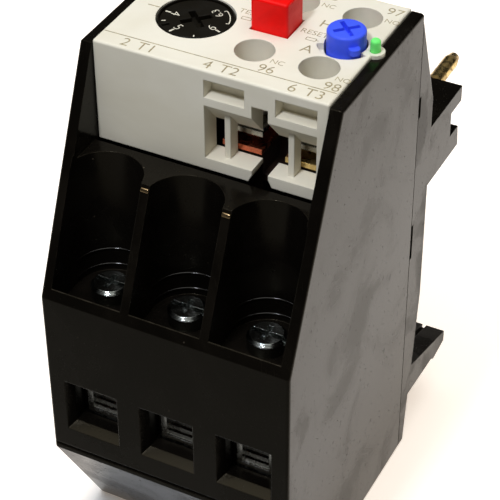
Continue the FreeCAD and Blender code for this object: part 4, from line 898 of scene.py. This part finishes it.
# ---------------------------------------------------------------- stage
FLOOR_REACH = 3.0                # half the floor's side
FLOOR_START = 8 * MM             # the floor's front edge, before the casing's front
FLOOR_GAP = 0.05 * MM            # between the floor and the casing's foot
SKY_FADE = 0.28                  # the ceiling light grows over this height of the sky
SKY_LOW = -0.3                   # below this the light from under the horizon is full
SKY_COLOUR = (1.0, 0.985, 0.93, 1)
LAMP_PLACE, LAMP_TARGET = Vector((-0.04, -0.30, 0.58)), Vector((0, 0, 0.06))
LAMP_SIZE, LAMP_COLOUR = 0.07, (0.96, 1.0, 1.10)
CAMERA_RIGHT = Vector((0.89102, 0.45393, -0.00551))
CAMERA_UP = Vector((-0.27933, 0.55778, 0.78158))
CAMERA_BACK = Vector((0.35785, -0.69486, 0.62378))
CAMERA_PLACE = Vector((137.54 * MM, -262.95 * MM, 303.80 * MM))


class RELAY_OT_stage(bpy.types.Operator):
    """Pale floor, soft lights and the camera"""
    bl_idname = "relay.stage"
    bl_label = "Stage"

    def execute(self, context):
        look = context.scene.relay_stage
        clear_selection()
        (_, front, foot), (side, _, _) = CAD_BOX
        bpy.ops.mesh.primitive_plane_add(
            size=2 * FLOOR_REACH,
            location=(0, front - FLOOR_START + FLOOR_REACH, foot - FLOOR_GAP))
        floor = bpy.context.object
        material, tree, shader, place = new_material("pale floor")
        surface = use_group(tree, "Handled surface", {"Vector": place, "Cloud size": 0.3})
        tree.links.new(blend_colours(tree, surface.outputs["Haze"], look.floor[:],
                                     shaded(look.floor, 0.985)),
                       shader.inputs["Base Color"])
        shader.inputs["Roughness"].default_value = 0.8
        parts = add_node(tree, "ShaderNodeSeparateXYZ", {"Vector": place})
        # Painted shadow: the floor's glow is left off in a patch before and under the casing's
        # front, so the floor there stays dark like the casing's shadow, and the casing's
        # underside mirrors it dark.
        aside = span(tree, math_node(tree, "ABSOLUTE", parts.outputs["X"]),
                     side - 2 * MM, side + 6 * MM)
        behind = span(tree, parts.outputs["Y"], front + 12 * MM, front + 22 * MM)
        lit = math_node(tree, "MAXIMUM", aside, behind)    # no glow under the casing's front
        tree.links.new(blend_colours(tree, lit, (0, 0, 0, 1), look.floor_glow[:]),
                       shader.inputs["Emission Color"])
        shader.inputs["Emission Strength"].default_value = 1.0
        settle(floor, "floor", material)

        world = context.scene.world or bpy.data.worlds.new("Room")
        context.scene.world = world
        world.use_nodes = True
        tree = world.node_tree
        sky = tree.nodes["Background"]
        direction = tree.nodes.new("ShaderNodeTexCoord").outputs["Generated"]
        height = add_node(tree, "ShaderNodeSeparateXYZ", {"Vector": direction}).outputs["Z"]
        above = span(tree, height, look.ceiling_edge, look.ceiling_edge + SKY_FADE,
                     look.shade, look.room)
        below = span(tree, height, SKY_LOW, 0.0, look.low, look.shade)
        tree.links.new(math_node(tree, "MAXIMUM", above, below), sky.inputs["Strength"])
        sky.inputs["Color"].default_value = SKY_COLOUR
        context.scene.view_settings.view_transform = "Standard"

        light = bpy.data.lights.new("lamp over the front", "AREA")
        light.size = LAMP_SIZE
        light.energy = look.flash
        light.color = LAMP_COLOUR
        lamp = bpy.data.objects.new(light.name, light)
        context.scene.collection.objects.link(lamp)
        lamp.location = LAMP_PLACE
        lamp.rotation_euler = (LAMP_TARGET - LAMP_PLACE).to_track_quat("-Z", "Y").to_euler()

        camera = bpy.data.objects.new("camera", bpy.data.cameras.new("camera"))
        context.scene.collection.objects.link(camera)
        camera.data.lens = look.lens
        camera.data.sensor_width = 36
        camera.data.clip_start = 0.01
        columns = [axis.to_4d() for axis in (CAMERA_RIGHT, CAMERA_UP, CAMERA_BACK)]
        for column in columns:
            column.w = 0
        camera.matrix_world = Matrix(columns + [CAMERA_PLACE.to_4d()]).transposed()
        context.scene.camera = camera
        return {"FINISHED"}


# ---------------------------------------------------------------- panel and main
OPERATORS = (RELAY_OT_casing_finish, RELAY_OT_cover_finish, RELAY_OT_control_finish,
             RELAY_OT_inner_finish, RELAY_OT_metal_finish, RELAY_OT_well_beads,
             RELAY_OT_wall_rivets, RELAY_OT_springs, RELAY_OT_cover_marks, RELAY_OT_dial_marks,
             RELAY_OT_dial_rim, RELAY_OT_stage)
SETTINGS = {"relay_plastics": RelayPlasticSettings, "relay_controls": RelayControlSettings,
            "relay_marks": RelayMarkSettings, "relay_stage": RelayStageSettings}


class RELAY_PT_looks(bpy.types.Panel):
    """Sizes, colours and steps of the relay's looks"""
    bl_idname = "RELAY_PT_looks"
    bl_label = "Overload relay"
    bl_space_type = "VIEW_3D"
    bl_region_type = "UI"
    bl_category = "Relay"

    def draw(self, context):
        for name, group in SETTINGS.items():
            box = self.layout.box()
            box.label(text=group.__doc__.strip("."))
            for key in group.__annotations__:
                box.prop(getattr(context.scene, name), key)
        for operator in OPERATORS:
            self.layout.operator(operator.bl_idname)


CLASSES = tuple(SETTINGS.values()) + OPERATORS + (RELAY_PT_looks,)


def register():
    for one in CLASSES:
        bpy.utils.register_class(one)
    for name, group in SETTINGS.items():
        setattr(bpy.types.Scene, name, PointerProperty(type=group))


def unregister():
    for name in SETTINGS:
        delattr(bpy.types.Scene, name)
    for one in reversed(CLASSES):
        bpy.utils.unregister_class(one)


def main():
    register()
    for build in (build_mottle_group, build_speck_group, build_scratch_group,
                  build_turning_group, build_edge_group):
        build()
    bpy.ops.relay.casing_finish()
    bpy.ops.relay.cover_finish()
    bpy.ops.relay.control_finish()
    bpy.ops.relay.inner_finish()
    bpy.ops.relay.metal_finish()
    bpy.ops.relay.well_beads()
    bpy.ops.relay.wall_rivets()
    bpy.ops.relay.springs()
    bpy.ops.relay.cover_marks()
    bpy.ops.relay.dial_marks()
    bpy.ops.relay.dial_rim()
    bpy.ops.relay.stage()


if __name__ == "__main__":
    main()
